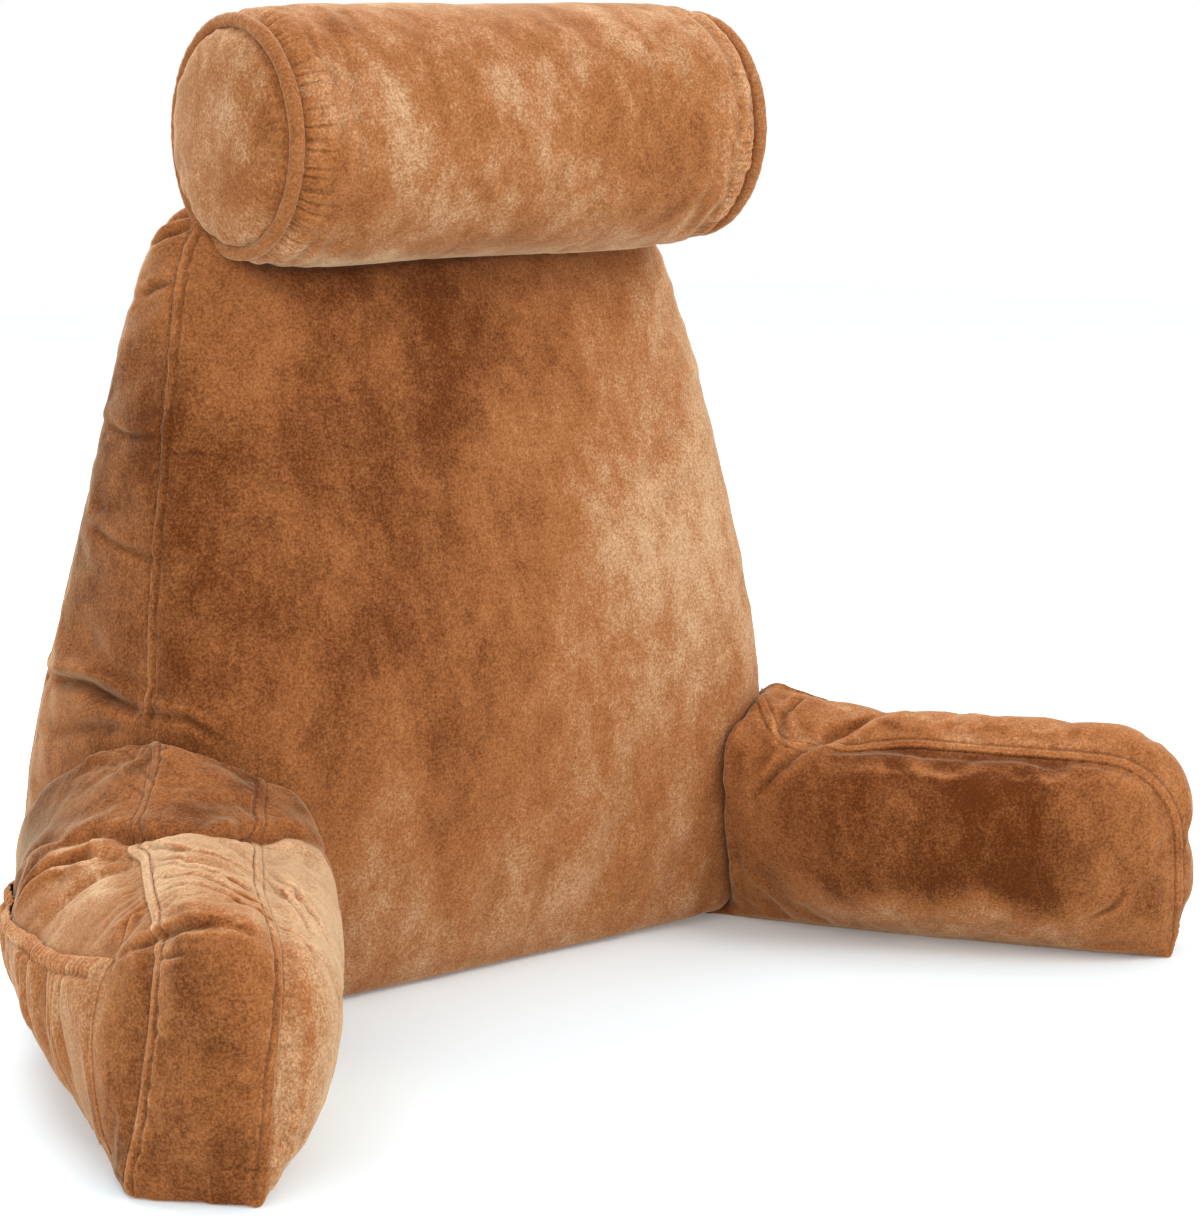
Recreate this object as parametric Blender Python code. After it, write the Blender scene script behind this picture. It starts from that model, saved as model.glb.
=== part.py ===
"""Reading pillow with arms: a wedge backrest, two splayed arms with gathered pockets, and a neck roll.

Metres, +Z up. The pillow faces -Y, and the origin is the middle of the backrest's flat base.
Each piece that is cut, filled or sewn on by itself is one closed object.
"""

import math
from collections import namedtuple

import bmesh
import bpy
import numpy as np
from mathutils import Matrix, Vector
from mathutils.bvhtree import BVHTree

# ---------------------------------------------------------------- driving dimensions
GAP = 0.0003
ON_SURFACE = 1e-6
LEFT, RIGHT = -1, 1

# The backrest starts as a block of this half size and edge rounding, and each level below reshapes it.
BACKREST_HALF = Vector((0.250, 0.100, 0.280))
BACKREST_FOOT_ROUNDING = 0.020
BACKREST_TOP_ROUNDING = 0.055
BACKREST_SIDE_CROWN = 0.008
BACKREST_SIDE_CROWN_POWER = 5
BACKREST_TOP_CROWN = 0.010
BACKREST_TOP_CROWN_START = 0.75
BACKREST_BACK_CROWN = 0.018
BACKREST_CROWN_POWER = 2.4
BACKREST_SEAM_Y = -0.055
BACKREST_COLUMNS, BACKREST_ROWS = 12, 26
BACKREST_DEPTH_CUTS = (-0.092, -0.080, -0.030, 0.000, 0.030, 0.060, 0.080, 0.092)
BACKREST_EDGE_CUT = 0.008

Level = namedtuple("Level", "height half_width lean front back front_crown")
BACKREST_LEVELS = (
    Level(0.000, 0.242, 0.000, -0.108, 0.104, -0.006),
    Level(0.060, 0.257, 0.002, -0.116, 0.112, 0.006),
    Level(0.190, 0.261, 0.005, -0.124, 0.096, 0.018),
    Level(0.320, 0.245, 0.006, -0.106, 0.061, 0.020),
    Level(0.420, 0.226, 0.004, -0.090, 0.040, 0.018),
    Level(0.505, 0.205, 0.002, -0.072, 0.024, 0.012),
    Level(0.560, 0.182, 0.002, -0.056, 0.014, 0.004),
)

# A seam is a raised fold of cloth, held flat by a row of stitches, with a valley on its other side.
# Centre and spread are in seam widths from the seam line, towards the stitches.
SEAM_WIDTH = 0.007
ReliefPart = namedtuple("ReliefPart", "centre spread height")
SEAM_RELIEF = (
    ReliefPart(0.40, 0.45, 0.0016),
    ReliefPart(1.25, 0.35, -0.0008),
    ReliefPart(-0.50, 0.50, -0.0008),
)
SEAM_CUTS = (0.45, 1.25, 1.90)
VALLEY_CUT = -0.50

# The arm's own frame: along from the root at the backrest's front corner, out across it, and up.
ARM_ROOT = Vector((0.243, -0.100))
ARM_SPLAY = math.radians(27.7)
ARM_START, ARM_END = -0.150, 0.337
ARM_END_SKEW, ARM_SKEW_START = 0.033, 0.050
ARM_NOSE_RADIUS = 0.050
ARM_NOSE_LENGTH = 0.060
ARM_BAND_CROWN = 0.019
ARM_BAND_POWER, ARM_BAND_FULLNESS = 2.2, 0.8
ARM_BAND_ROOT_SHARE = 0.35
ARM_BAND_FOOT = 0.060
ARM_END_POWER, ARM_END_FULLNESS = 2.6, 0.6
ARM_ROOT_RISE = {LEFT: 0.045, RIGHT: 0.024}
ARM_ROOT_RISE_LENGTH = 0.120
ARM_INNER_RISE_SHARE = 0.60
ARM_LENGTH_STEPS, ARM_NOSE_STEPS, ARM_HEIGHT_STEPS = 24, 6, 11
ARM_BAND_CUTS = (0.38, 0.50, 0.62)
ARM_EDGE_SHARE = 0.03

Section = namedtuple(
    "Section",
    "along inner_foot inner_seam outer_seam outer_foot inner_height outer_height inner_crown outer_crown",
)
ARM_SECTIONS = (
    Section(-0.150, 0.020, 0.010, 0.080, 0.094, 0.140, 0.160, 0.000, 0.010),
    Section(-0.080, 0.000, -0.020, 0.052, 0.098, 0.150, 0.180, 0.000, 0.034),
    Section(0.000, 0.000, -0.046, 0.020, 0.094, 0.150, 0.160, 0.036, 0.048),
    Section(0.060, -0.004, -0.038, 0.028, 0.090, 0.146, 0.154, 0.055, 0.051),
    Section(0.120, -0.006, -0.029, 0.038, 0.086, 0.145, 0.151, 0.059, 0.048),
    Section(0.200, -0.006, -0.020, 0.046, 0.082, 0.144, 0.150, 0.052, 0.038),
    Section(0.280, -0.004, -0.016, 0.050, 0.077, 0.143, 0.149, 0.043, 0.030),
    Section(0.337, 0.000, -0.016, 0.050, 0.072, 0.141, 0.147, 0.036, 0.026),
)

# How the arm's side panels fill out: how high the fullest place lies, how square the swelling is and how
# full, and over what length it fades to the arm's end. The outer panel is slimmer near the backrest.
Filling = namedtuple("Filling", "lean power fullness end_length")
ARM_INNER_FILLING = Filling(1.25, 3.0, 0.62, 0.070)
ARM_OUTER_FILLING = Filling(1.10, 2.3, 0.80, 0.110)
ARM_INNER_ROOT_SHARE = {LEFT: 1.0, RIGHT: 0.6}
ARM_OUTER_ROOT_FULLNESS = 1.5
ARM_OUTER_ROOT_START, ARM_OUTER_ROOT_END = -0.060, 0.140

# Local bulges of an arm's outer side and nose, out and forward, round a place along the arm and up it.
Bulge = namedtuple("Bulge", "out forward along length height spread")
ARM_BULGES = {
    LEFT: (
        Bulge(0.016, 0.000, 0.06, 0.14, 0.115, 0.050),
        Bulge(-0.009, 0.000, 0.18, 0.13, 0.015, 0.045),
        Bulge(0.004, 0.007, 0.33, 0.05, 0.000, 0.040),
    ),
    RIGHT: (
        Bulge(0.009, 0.003, 0.32, 0.08, 0.055, 0.050),
        Bulge(-0.004, 0.000, 0.33, 0.08, 0.130, 0.035),
    ),
}
BULGE_INNER_SHARE, BULGE_ROOT_START, BULGE_ROOT_END = 0.35, -0.09, 0.00

# Above this sloping plane the outer panel is drawn down, so that it ends in an arc on the backrest's side.
ROOT_PLANE_POINT = {LEFT: Vector((-0.290, 0.016, 0.153)), RIGHT: Vector((0.290, 0.016, 0.147))}
ROOT_PLANE_NORMAL = Vector((0.0, 0.557, 0.831))
ROOT_DRAW_SHARE = 0.85
ROOT_DRAW_OUT_START, ROOT_DRAW_OUT_END = -0.020, 0.000

# Neck roll, lying along X in a shallow seat on the backrest's top front edge.
ROLL_CENTRE = Vector((0.001, -0.0965, 0.5920))
ROLL_TILT = math.radians(1.2)
ROLL_TURN = math.radians(-4.0)
ROLL_HALF_LENGTH = 0.1895
ROLL_RADIUS = 0.0735
ROLL_BELLY, ROLL_BELLY_POWER = 0.0125, 13
ROLL_CAP_CROWN, ROLL_CAP_POWER, ROLL_CAP_FULLNESS = 0.014, 2.6, 0.8
ROLL_CAP_RADIUS = 0.0724
ROLL_SIDES = 36
CAP_SHARES = (0.22, 0.45, 0.66, 0.84, 0.95)
BARREL_SHARES = (0.04, 0.09, 0.16, 0.26, 0.45, 0.70, 1.0)
PUCKER_COUNT = 15
PUCKER_WANDER = 1.3
PUCKER_DEPTH = 0.0012
PUCKER_LENGTH = 0.022
CAP_PUCKER_START = 0.6

# The piping's cord lies in a groove between the roll's barrel and its cap.
PIPING_RADIUS = 0.0048
PIPING_SIDES = 6
PIPING_STAND = 0.0014
GROOVE_PLAY = 0.0006
GROOVE_SLOPE = 0.0010

# Side pocket on the outer panel of each arm. Its mouth sags from the front to the back.
MouthPoint = namedtuple("MouthPoint", "along height")
POCKET_MOUTH = (
    MouthPoint(-0.030, 0.110),
    MouthPoint(0.020, 0.100),
    MouthPoint(0.100, 0.103),
    MouthPoint(0.184, 0.110),
    MouthPoint(0.256, 0.125),
)
POCKET_BACK, POCKET_FRONT_TOP, POCKET_FRONT_FOOT = -0.030, 0.256, 0.276
POCKET_FOOT = 0.016
POCKET_THICKNESS = 0.0018
POCKET_CLEARANCE = 0.0009
POCKET_COLUMNS, POCKET_ROWS = 36, 9
HEM_HEIGHT = 0.012
HEM_BULGE = 0.0022
HEM_MIDDLE_SHARE = 0.25
HEM_GATHER_SHARE = 0.35
INNER_GATHER_SHARE = 0.55
GATHER_COUNT = 11
GATHER_DEPTH = 0.0034
GATHER_WANDER, GATHER_WANDER_TURN = 0.9, 9.0
GATHER_FOOT_SHARE = 0.25
GATHER_FOOT_FADE, GATHER_EDGE_FADE = 0.30, 0.05

# Main creases: each is a soft trough along a straight line on the surface.
Crease = namedtuple("Crease", "start end width depth")
CREASE_END_POWER, CREASE_END_FADE = 4, 0.7

VELVET_BROWN = (0.392, 0.158, 0.052, 1.0)
VELVET_DEEP = (0.340, 0.130, 0.042, 1.0)
VELVET_LIGHT = (0.450, 0.200, 0.080, 1.0)
VELVET_ROUGHNESS = 0.85
SHARP_EDGE = math.radians(50)


# ---------------------------------------------------------------- helpers
def clear_scene():
    for old in list(bpy.data.objects):
        bpy.data.objects.remove(old, do_unlink=True)


def cloth_material(name, colour):
    material = bpy.data.materials.new(name)
    material.use_nodes = True
    shader = material.node_tree.nodes["Principled BSDF"]
    shader.inputs["Base Color"].default_value = colour
    shader.inputs["Roughness"].default_value = VELVET_ROUGHNESS
    shader.inputs["Metallic"].default_value = 0.0
    return material


def smooth_value(rows, key, column, place):
    """A column's value at a place along the key column, on a smooth curve through the rows."""
    keys = [getattr(row, key) for row in rows]
    values = [getattr(row, column) for row in rows]
    slopes = np.gradient(values, keys)
    place = min(max(place, keys[0]), keys[-1])
    upper = min(max(int(np.searchsorted(keys, place)), 1), len(keys) - 1)
    lower = upper - 1
    span = keys[upper] - keys[lower]
    part = (place - keys[lower]) / span
    rise = part * part * (3 - 2 * part)
    leave = part * (1 - part) ** 2 * span * slopes[lower]
    arrive = -part * part * (1 - part) * span * slopes[upper]
    return values[lower] + (values[upper] - values[lower]) * rise + leave + arrive


def mix(first, second, share):
    return first + (second - first) * share


def ease(low, high, value):
    """0 at low and before it, 1 at high and past it, and smooth between them."""
    part = min(max((value - low) / (high - low), 0.0), 1.0)
    return part * part * (3 - 2 * part)


def swell(share, power, fullness=1.0):
    """How far a filled panel stands out between its seams at 0 and 1, from 0 to 1."""
    return max(0.0, 1 - abs(2 * share - 1) ** power) ** fullness


def bump(distance, width):
    return math.exp(-((distance / width) ** 2))


def evenly(start, end, count):
    return [mix(start, end, step / count) for step in range(1, count)]


def gridded_block(low, high, cuts):
    """A block cut along each axis at the given places, so that its surface is a net of quads."""
    net = bmesh.new()
    bmesh.ops.create_cube(net, size=1.0)
    for corner in net.verts:
        corner.co = Vector(mix(a, b, c + 0.5) for a, b, c in zip(low, high, corner.co))
    for axis, places in enumerate(cuts):
        normal = Vector((0, 0, 0))
        normal[axis] = 1.0
        for place in sorted(places):
            everything = net.verts[:] + net.edges[:] + net.faces[:]
            bmesh.ops.bisect_plane(net, geom=everything, plane_co=normal * place, plane_no=normal)
    return net


def press_creases(net, creases):
    """Moves the net's points inwards along soft troughs."""
    net.normal_update()
    for point in net.verts:
        push = 0.0
        for crease in creases:
            start, end = Vector(crease.start), Vector(crease.end)
            line = end - start
            share = min(max((point.co - start).dot(line) / line.length_squared, 0.0), 1.0)
            distance = (point.co - start - line * share).length
            fade = 1 - abs(2 * share - 1) ** CREASE_END_POWER * CREASE_END_FADE
            push += crease.depth * fade * bump(distance, crease.width)
        point.co -= point.normal * push


def object_from_net(name, net, material):
    bmesh.ops.recalc_face_normals(net, faces=net.faces[:])
    bmesh.ops.triangulate(net, faces=net.faces[:], quad_method="SHORT_EDGE")
    mesh = bpy.data.meshes.new(name)
    net.to_mesh(mesh)
    net.free()
    mesh.materials.append(material)
    mesh.shade_smooth()
    mesh.set_sharp_from_angle(angle=SHARP_EDGE)
    piece = bpy.data.objects.new(name, mesh)
    bpy.context.scene.collection.objects.link(piece)
    return piece


def grown_copy(piece, margin):
    """A hidden cutter: the piece with every point moved out by the margin."""
    net = bmesh.new()
    net.from_mesh(piece.data)
    net.normal_update()
    for point in net.verts:
        point.co += point.normal * margin * point.calc_shell_factor()
    cutter = object_from_net(piece.name + "_cutter", net, piece.data.materials[0])
    cutter.matrix_world = piece.matrix_world.copy()
    cutter.hide_render = True
    cutter.display_type = "WIRE"
    return cutter


def cut_away(piece, cutter):
    cut = piece.modifiers.new("seat against " + cutter.name, "BOOLEAN")
    cut.operation = "DIFFERENCE"
    cut.object = cutter
    cut.solver = "EXACT"


# ---------------------------------------------------------------- backrest
def rounded_block_point(point):
    """Rounds the edges of the backrest's block, more at its top than at its foot."""
    height_share = point.z / (2 * BACKREST_HALF.z)
    radius = mix(BACKREST_FOOT_ROUNDING, BACKREST_TOP_ROUNDING, height_share)
    middle = Vector((0, 0, BACKREST_HALF.z))
    offset = point - middle
    core = Vector(
        min(max(value, radius - half), half - radius) for value, half in zip(offset, BACKREST_HALF)
    )
    return middle + core + (offset - core).normalized() * radius


def backrest_point(block_point):
    point = rounded_block_point(block_point)
    width, depth = point.x / BACKREST_HALF.x, point.y / BACKREST_HALF.y
    half_width = smooth_value(BACKREST_LEVELS, "height", "half_width", point.z)
    front = smooth_value(BACKREST_LEVELS, "height", "front", point.z)
    back = smooth_value(BACKREST_LEVELS, "height", "back", point.z)
    crown = smooth_value(BACKREST_LEVELS, "height", "front_crown", point.z)
    lean = smooth_value(BACKREST_LEVELS, "height", "lean", point.z)
    rise = point.z / (2 * BACKREST_HALF.z)
    across = swell((width + 1) / 2, BACKREST_CROWN_POWER)
    forward = max(-depth, 0.0) * crown * across
    backward = max(depth, 0.0) * BACKREST_BACK_CROWN * across * swell(rise, BACKREST_CROWN_POWER)
    sideways = BACKREST_SIDE_CROWN * width**BACKREST_SIDE_CROWN_POWER * swell((depth + 1) / 2, 2)
    upward = BACKREST_TOP_CROWN * ease(BACKREST_TOP_CROWN_START, 1.0, rise) * across
    return Vector(
        (
            width * half_width + sideways + lean,
            mix(front, back, (depth + 1) / 2) - forward + backward,
            point.z + upward,
        )
    )


def seam_relief(distance):
    """Height of a seam's relief at a distance from the seam line, towards its row of stitches."""
    widths = distance / SEAM_WIDTH
    return sum(part.height * bump(widths - part.centre, part.spread) for part in SEAM_RELIEF)


BACKREST_CREASES = (
    Crease((-0.190, -0.050, 0.528), (-0.172, 0.010, 0.545), 0.012, 0.0060),
    Crease((-0.203, -0.045, 0.492), (-0.196, 0.015, 0.484), 0.012, 0.0055),
    Crease((-0.235, -0.060, 0.360), (-0.228, 0.030, 0.340), 0.012, 0.0035),
    Crease((-0.258, -0.075, 0.235), (-0.262, 0.050, 0.262), 0.013, 0.0060),
    Crease((0.200, -0.050, 0.520), (0.182, 0.010, 0.535), 0.012, 0.0055),
    Crease((0.248, -0.060, 0.350), (0.240, 0.030, 0.362), 0.012, 0.0035),
    Crease((0.268, -0.075, 0.225), (0.268, 0.050, 0.250), 0.013, 0.0055),
)


def make_backrest(material):
    seam_cuts = [BACKREST_SEAM_Y - SEAM_WIDTH * share for share in SEAM_CUTS + (VALLEY_CUT,)]
    width_cuts = evenly(-BACKREST_HALF.x, BACKREST_HALF.x, BACKREST_COLUMNS)
    top = 2 * BACKREST_HALF.z
    height_cuts = evenly(0.0, top, BACKREST_ROWS) + [BACKREST_EDGE_CUT, top - BACKREST_EDGE_CUT]
    depth_cuts = seam_cuts + list(BACKREST_DEPTH_CUTS)
    low = Vector((-BACKREST_HALF.x, -BACKREST_HALF.y, 0))
    high = Vector((BACKREST_HALF.x, BACKREST_HALF.y, top))
    net = gridded_block(low, high, (width_cuts, depth_cuts, height_cuts))
    relief = {}
    for point in net.verts:
        on_gusset = abs(point.co.x) > BACKREST_HALF.x - ON_SURFACE or point.co.z > top - ON_SURFACE
        if on_gusset and point.co.z > ON_SURFACE:
            relief[point] = seam_relief(BACKREST_SEAM_Y - point.co.y)
        point.co = backrest_point(point.co)
    bmesh.ops.recalc_face_normals(net, faces=net.faces[:])
    net.normal_update()
    for point, height in relief.items():
        point.co += point.normal * height
    press_creases(net, BACKREST_CREASES)
    for point in net.verts:
        point.co.z = max(point.co.z, 0.0)
    return object_from_net("backrest", net, material)


# ---------------------------------------------------------------- arms
def arm_frame(side):
    along = Vector((side * math.sin(ARM_SPLAY), -math.cos(ARM_SPLAY), 0))
    out = Vector((side * math.cos(ARM_SPLAY), math.sin(ARM_SPLAY), 0))
    return Vector((side * ARM_ROOT.x, ARM_ROOT.y, 0)), along, out


def arm_height(side, along, across):
    """Height of the seams that edge the arm's band, which climbs to the backrest at the root."""
    inner = smooth_value(ARM_SECTIONS, "along", "inner_height", along)
    outer = smooth_value(ARM_SECTIONS, "along", "outer_height", along)
    rise = ARM_ROOT_RISE[side] * mix(ARM_INNER_RISE_SHARE, 1.0, across)
    return mix(inner, outer, across) + rise * (1 - ease(0.0, ARM_ROOT_RISE_LENGTH, along))


def nose_share(along, up, top):
    """How far a place lies into the rounded corner between the arm's top and its end, along and up."""
    reach = (along - (ARM_END - ARM_NOSE_RADIUS)) / ARM_NOSE_RADIUS
    lift = (up - (top - ARM_NOSE_RADIUS)) / ARM_NOSE_RADIUS
    return max(reach, 0.0), max(lift, 0.0)


def rounded_nose(along, up, top):
    """Rounds the corner between the arm's top and its end, and gives the new place along and up."""
    reach, lift = nose_share(along, up, top)
    if reach > 0 and lift > 0:
        along += (math.sqrt(1 - lift * lift / 2) - 1) * reach * ARM_NOSE_RADIUS
        up += (math.sqrt(1 - reach * reach / 2) - 1) * lift * ARM_NOSE_RADIUS
    return along, up


def fade_to_end(along, length):
    """1 along a filled panel, falling to 0 at the arm's end as a rounded edge of the given length."""
    reach = max(0.0, (along - (ARM_END - length)) / length)
    return max(0.0, 1 - reach**ARM_END_POWER) ** ARM_END_FULLNESS


def panel_swell(filling, fullness, along, height_share):
    shape = swell(height_share**filling.lean, filling.power, fullness)
    return shape * fade_to_end(along, filling.end_length)


def arm_bulge(side, along, across, up):
    """(out, forward) of the local bulges at a place of the arm."""
    out = forward = 0.0
    for bulge in ARM_BULGES[side]:
        share = bump(along - bulge.along, bulge.length) * bump(up - bulge.height, bulge.spread)
        out += bulge.out * share * ease(BULGE_INNER_SHARE, 1.0, across)
        forward += bulge.forward * share
    free = ease(BULGE_ROOT_START, BULGE_ROOT_END, along)
    return out * free, forward * free


def arm_point(side, along, across, height_share):
    """A point of the arm: along it in metres, and across it and up it as shares from 0 to 1."""
    root_share = ease(ARM_OUTER_ROOT_START, ARM_OUTER_ROOT_END, along)
    outer_fullness = mix(ARM_OUTER_ROOT_FULLNESS, ARM_OUTER_FILLING.fullness, root_share)
    inner_swell = panel_swell(ARM_INNER_FILLING, ARM_INNER_FILLING.fullness, along, height_share)
    inner_swell *= mix(ARM_INNER_ROOT_SHARE[side], 1.0, ease(0.0, ARM_ROOT_RISE_LENGTH, along))
    outer_swell = panel_swell(ARM_OUTER_FILLING, outer_fullness, along, height_share)
    top = arm_height(side, along, across)
    place, up = rounded_nose(along, height_share * top, top)
    columns = Section._fields[1:]
    row = {name: smooth_value(ARM_SECTIONS, "along", name, place) for name in columns}
    inner = mix(row["inner_foot"], row["inner_seam"], up / top) - row["inner_crown"] * inner_swell
    outer = mix(row["outer_foot"], row["outer_seam"], up / top) + row["outer_crown"] * outer_swell
    reach, lift = nose_share(place, up, top)
    crown = ARM_BAND_CROWN * swell(across, ARM_BAND_POWER, ARM_BAND_FULLNESS)
    crown *= ease(0.0, ARM_BAND_FOOT, up) * (1 + reach * lift)
    crown *= mix(ARM_BAND_ROOT_SHARE, 1.0, ease(0.0, ARM_ROOT_RISE_LENGTH, along))
    bulge_out, bulge_forward = arm_bulge(side, along, across, up)
    skew = ARM_END_SKEW * across * ease(ARM_SKEW_START, ARM_END, along)
    length = place + crown * reach - skew + bulge_forward
    width = mix(inner, outer, across)
    root, forward, out = arm_frame(side)
    flat = root + forward * length + out * (width + bulge_out)
    return drawn_down(side, width, Vector((flat.x, flat.y, up + crown * lift)))


def drawn_down(side, width, point):
    above = max((point - ROOT_PLANE_POINT[side]).dot(ROOT_PLANE_NORMAL), 0.0)
    share = ROOT_DRAW_SHARE * ease(ROOT_DRAW_OUT_START, ROOT_DRAW_OUT_END, width)
    return point - ROOT_PLANE_NORMAL * above * share


ARM_CREASES = {
    LEFT: (
        Crease((-0.232, -0.224, 0.135), (-0.330, -0.173, 0.165), 0.010, 0.0050),
        Crease((-0.335, -0.198, 0.155), (-0.390, -0.137, 0.115), 0.012, 0.0055),
        Crease((-0.300, -0.120, 0.175), (-0.350, -0.040, 0.140), 0.012, 0.0045),
        Crease((-0.415, -0.335, 0.150), (-0.455, -0.328, 0.132), 0.009, 0.0045),
        Crease((-0.300, -0.290, 0.145), (-0.355, -0.262, 0.170), 0.009, 0.0025),
    ),
    RIGHT: (
        Crease((0.250, -0.195, 0.135), (0.318, -0.190, 0.175), 0.011, 0.0060),
        Crease((0.210, -0.140, 0.150), (0.285, -0.146, 0.185), 0.011, 0.0060),
        Crease((0.225, -0.135, 0.095), (0.232, -0.185, 0.135), 0.012, 0.0045),
        Crease((0.335, -0.198, 0.155), (0.390, -0.137, 0.115), 0.012, 0.0045),
    ),
}


def band_width():
    """The arm's width between its two seams, halfway along it."""
    middle = ARM_END / 2
    outer = smooth_value(ARM_SECTIONS, "along", "outer_seam", middle)
    return outer - smooth_value(ARM_SECTIONS, "along", "inner_seam", middle)


def make_arm(side, name, material):
    band = band_width()
    nose = ARM_END - ARM_NOSE_LENGTH
    seam_shares = [SEAM_WIDTH * share / band for share in SEAM_CUTS]
    across_cuts = seam_shares + [1 - share for share in seam_shares] + list(ARM_BAND_CUTS)
    along_cuts = evenly(ARM_START, nose, ARM_LENGTH_STEPS) + [nose]
    along_cuts += evenly(nose, ARM_END, ARM_NOSE_STEPS)
    height_cuts = evenly(0.0, 1.0, ARM_HEIGHT_STEPS) + [ARM_EDGE_SHARE, 1 - ARM_EDGE_SHARE]
    low, high = Vector((ARM_START, 0, 0)), Vector((ARM_END, 1, 1))
    net = gridded_block(low, high, (along_cuts, across_cuts, height_cuts))
    relief = {}
    for point in net.verts:
        along, across, up = point.co
        if up > 1 - ON_SURFACE or along > ARM_END - ON_SURFACE:
            relief[point] = seam_relief(min(across, 1 - across) * band)
        point.co = arm_point(side, along, across, up)
    bmesh.ops.recalc_face_normals(net, faces=net.faces[:])
    net.normal_update()
    for point, height in relief.items():
        if point.co.z > ON_SURFACE:
            point.co += point.normal * height
    press_creases(net, ARM_CREASES[side])
    for point in net.verts:
        point.co.z = max(point.co.z, 0.0)
    return object_from_net(name, net, material)


# ---------------------------------------------------------------- pockets
def pocket_gather(share, rise):
    """How far the gathered cloth stands out: most under the hem, and not at all at the sewn edges."""
    wander = GATHER_WANDER * math.sin(GATHER_WANDER_TURN * share)
    fold = abs(math.sin(math.pi * GATHER_COUNT * share + wander))
    sides = ease(0.0, GATHER_EDGE_FADE, share) * ease(0.0, GATHER_EDGE_FADE, 1 - share)
    upwards = mix(GATHER_FOOT_SHARE, 1.0, rise) * ease(0.0, GATHER_FOOT_FADE, rise)
    return GATHER_DEPTH * fold * sides * upwards


def pocket_place(share, rise):
    """(along, height) of a place, from its share of the way forward and its rise from foot to mouth."""
    along = mix(POCKET_BACK, mix(POCKET_FRONT_FOOT, POCKET_FRONT_TOP, rise), share)
    return along, mix(POCKET_FOOT, smooth_value(POCKET_MOUTH, "along", "height", along), rise)


def pocket_point(side, skin, share, rise, lift):
    """A point of the pocket, lifted off the arm's outer panel, which the skin tree holds."""
    along, height = pocket_place(share, rise)
    root, forward, out = arm_frame(side)
    outside = root + forward * along + out + Vector((0, 0, height))
    here, outward, _, _ = skin.ray_cast(outside, -out)
    return here + outward * lift


def pocket_layer(side, skin, rises, hem_rise, outer):
    """One layer of the pocket's cloth, as rows of (place, lift) points from the foot to the mouth."""
    rows = []
    for rise in rises:
        row = []
        for column in range(POCKET_COLUMNS + 1):
            share = column / POCKET_COLUMNS
            gather = pocket_gather(share, rise)
            if rise > hem_rise:
                gather = gather * HEM_GATHER_SHARE + HEM_BULGE
            lift = gather + POCKET_THICKNESS if outer else gather * INNER_GATHER_SHARE
            row.append(pocket_point(side, skin, share, rise, POCKET_CLEARANCE + lift))
        rows.append(row)
    return rows


def make_pocket(side, name, arm, material):
    """The pocket's inner and outer layers as two nets of quads, joined round their rim."""
    skin = BVHTree.FromPolygons(
        [point.co for point in arm.data.vertices], [face.vertices[:] for face in arm.data.polygons]
    )
    hem_rise = 1 - HEM_HEIGHT / (POCKET_MOUTH[-1].height - POCKET_FOOT)
    rises = [hem_rise * row / POCKET_ROWS for row in range(POCKET_ROWS + 1)]
    rises += [mix(hem_rise, 1, HEM_MIDDLE_SHARE), 1]
    net = bmesh.new()
    rims = []
    for outer in (False, True):
        layer = pocket_layer(side, skin, rises, hem_rise, outer)
        rows = [[net.verts.new(place) for place in row] for row in layer]
        for lower, upper in zip(rows, rows[1:]):
            for column in range(POCKET_COLUMNS):
                net.faces.new((lower[column], lower[column + 1], upper[column + 1], upper[column]))
        right = [row[-1] for row in rows[1:]]
        left = [row[0] for row in rows[-2:0:-1]]
        rims.append(rows[0] + right + rows[-1][-2::-1] + left)
    inner_rim, outer_rim = rims
    for place in range(len(inner_rim)):
        before = place - 1
        net.faces.new((inner_rim[before], inner_rim[place], outer_rim[place], outer_rim[before]))
    return object_from_net(name, net, material)


# ---------------------------------------------------------------- neck roll
def roll_matrix():
    turned = Matrix.Rotation(ROLL_TURN, 4, "Z") @ Matrix.Rotation(-ROLL_TILT, 4, "Y")
    return Matrix.Translation(ROLL_CENTRE) @ turned


def roll_profile():
    """(along, radius, pucker share) from the middle of an end to the middle of the roll."""
    groove = ROLL_RADIUS - PIPING_RADIUS + PIPING_STAND
    rim = ROLL_HALF_LENGTH + PIPING_RADIUS + GROOVE_PLAY
    shoulder = ROLL_HALF_LENGTH - PIPING_RADIUS - GROOVE_PLAY
    rows = []
    for share in CAP_SHARES:
        crown = ROLL_CAP_CROWN * swell((share + 1) / 2, ROLL_CAP_POWER, ROLL_CAP_FULLNESS)
        pucker = max(0.0, share - CAP_PUCKER_START) / (1 - CAP_PUCKER_START)
        rows.append((rim + crown, ROLL_CAP_RADIUS * share, pucker))
    rows.append((rim, ROLL_CAP_RADIUS, 0.0))
    rows.append((rim - GROOVE_SLOPE, groove, 0.0))
    rows.append((shoulder + GROOVE_SLOPE, groove, 0.0))
    rows.append((shoulder, ROLL_RADIUS, 0.0))
    for share in BARREL_SHARES:
        belly = ROLL_BELLY * (1 - (1 - share) ** ROLL_BELLY_POWER)
        pucker = math.exp(-share * shoulder / PUCKER_LENGTH)
        rows.append((shoulder * (1 - share), ROLL_RADIUS + belly, pucker))
    return rows


def ring_angle(step):
    return 2 * math.pi * step / ROLL_SIDES


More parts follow.
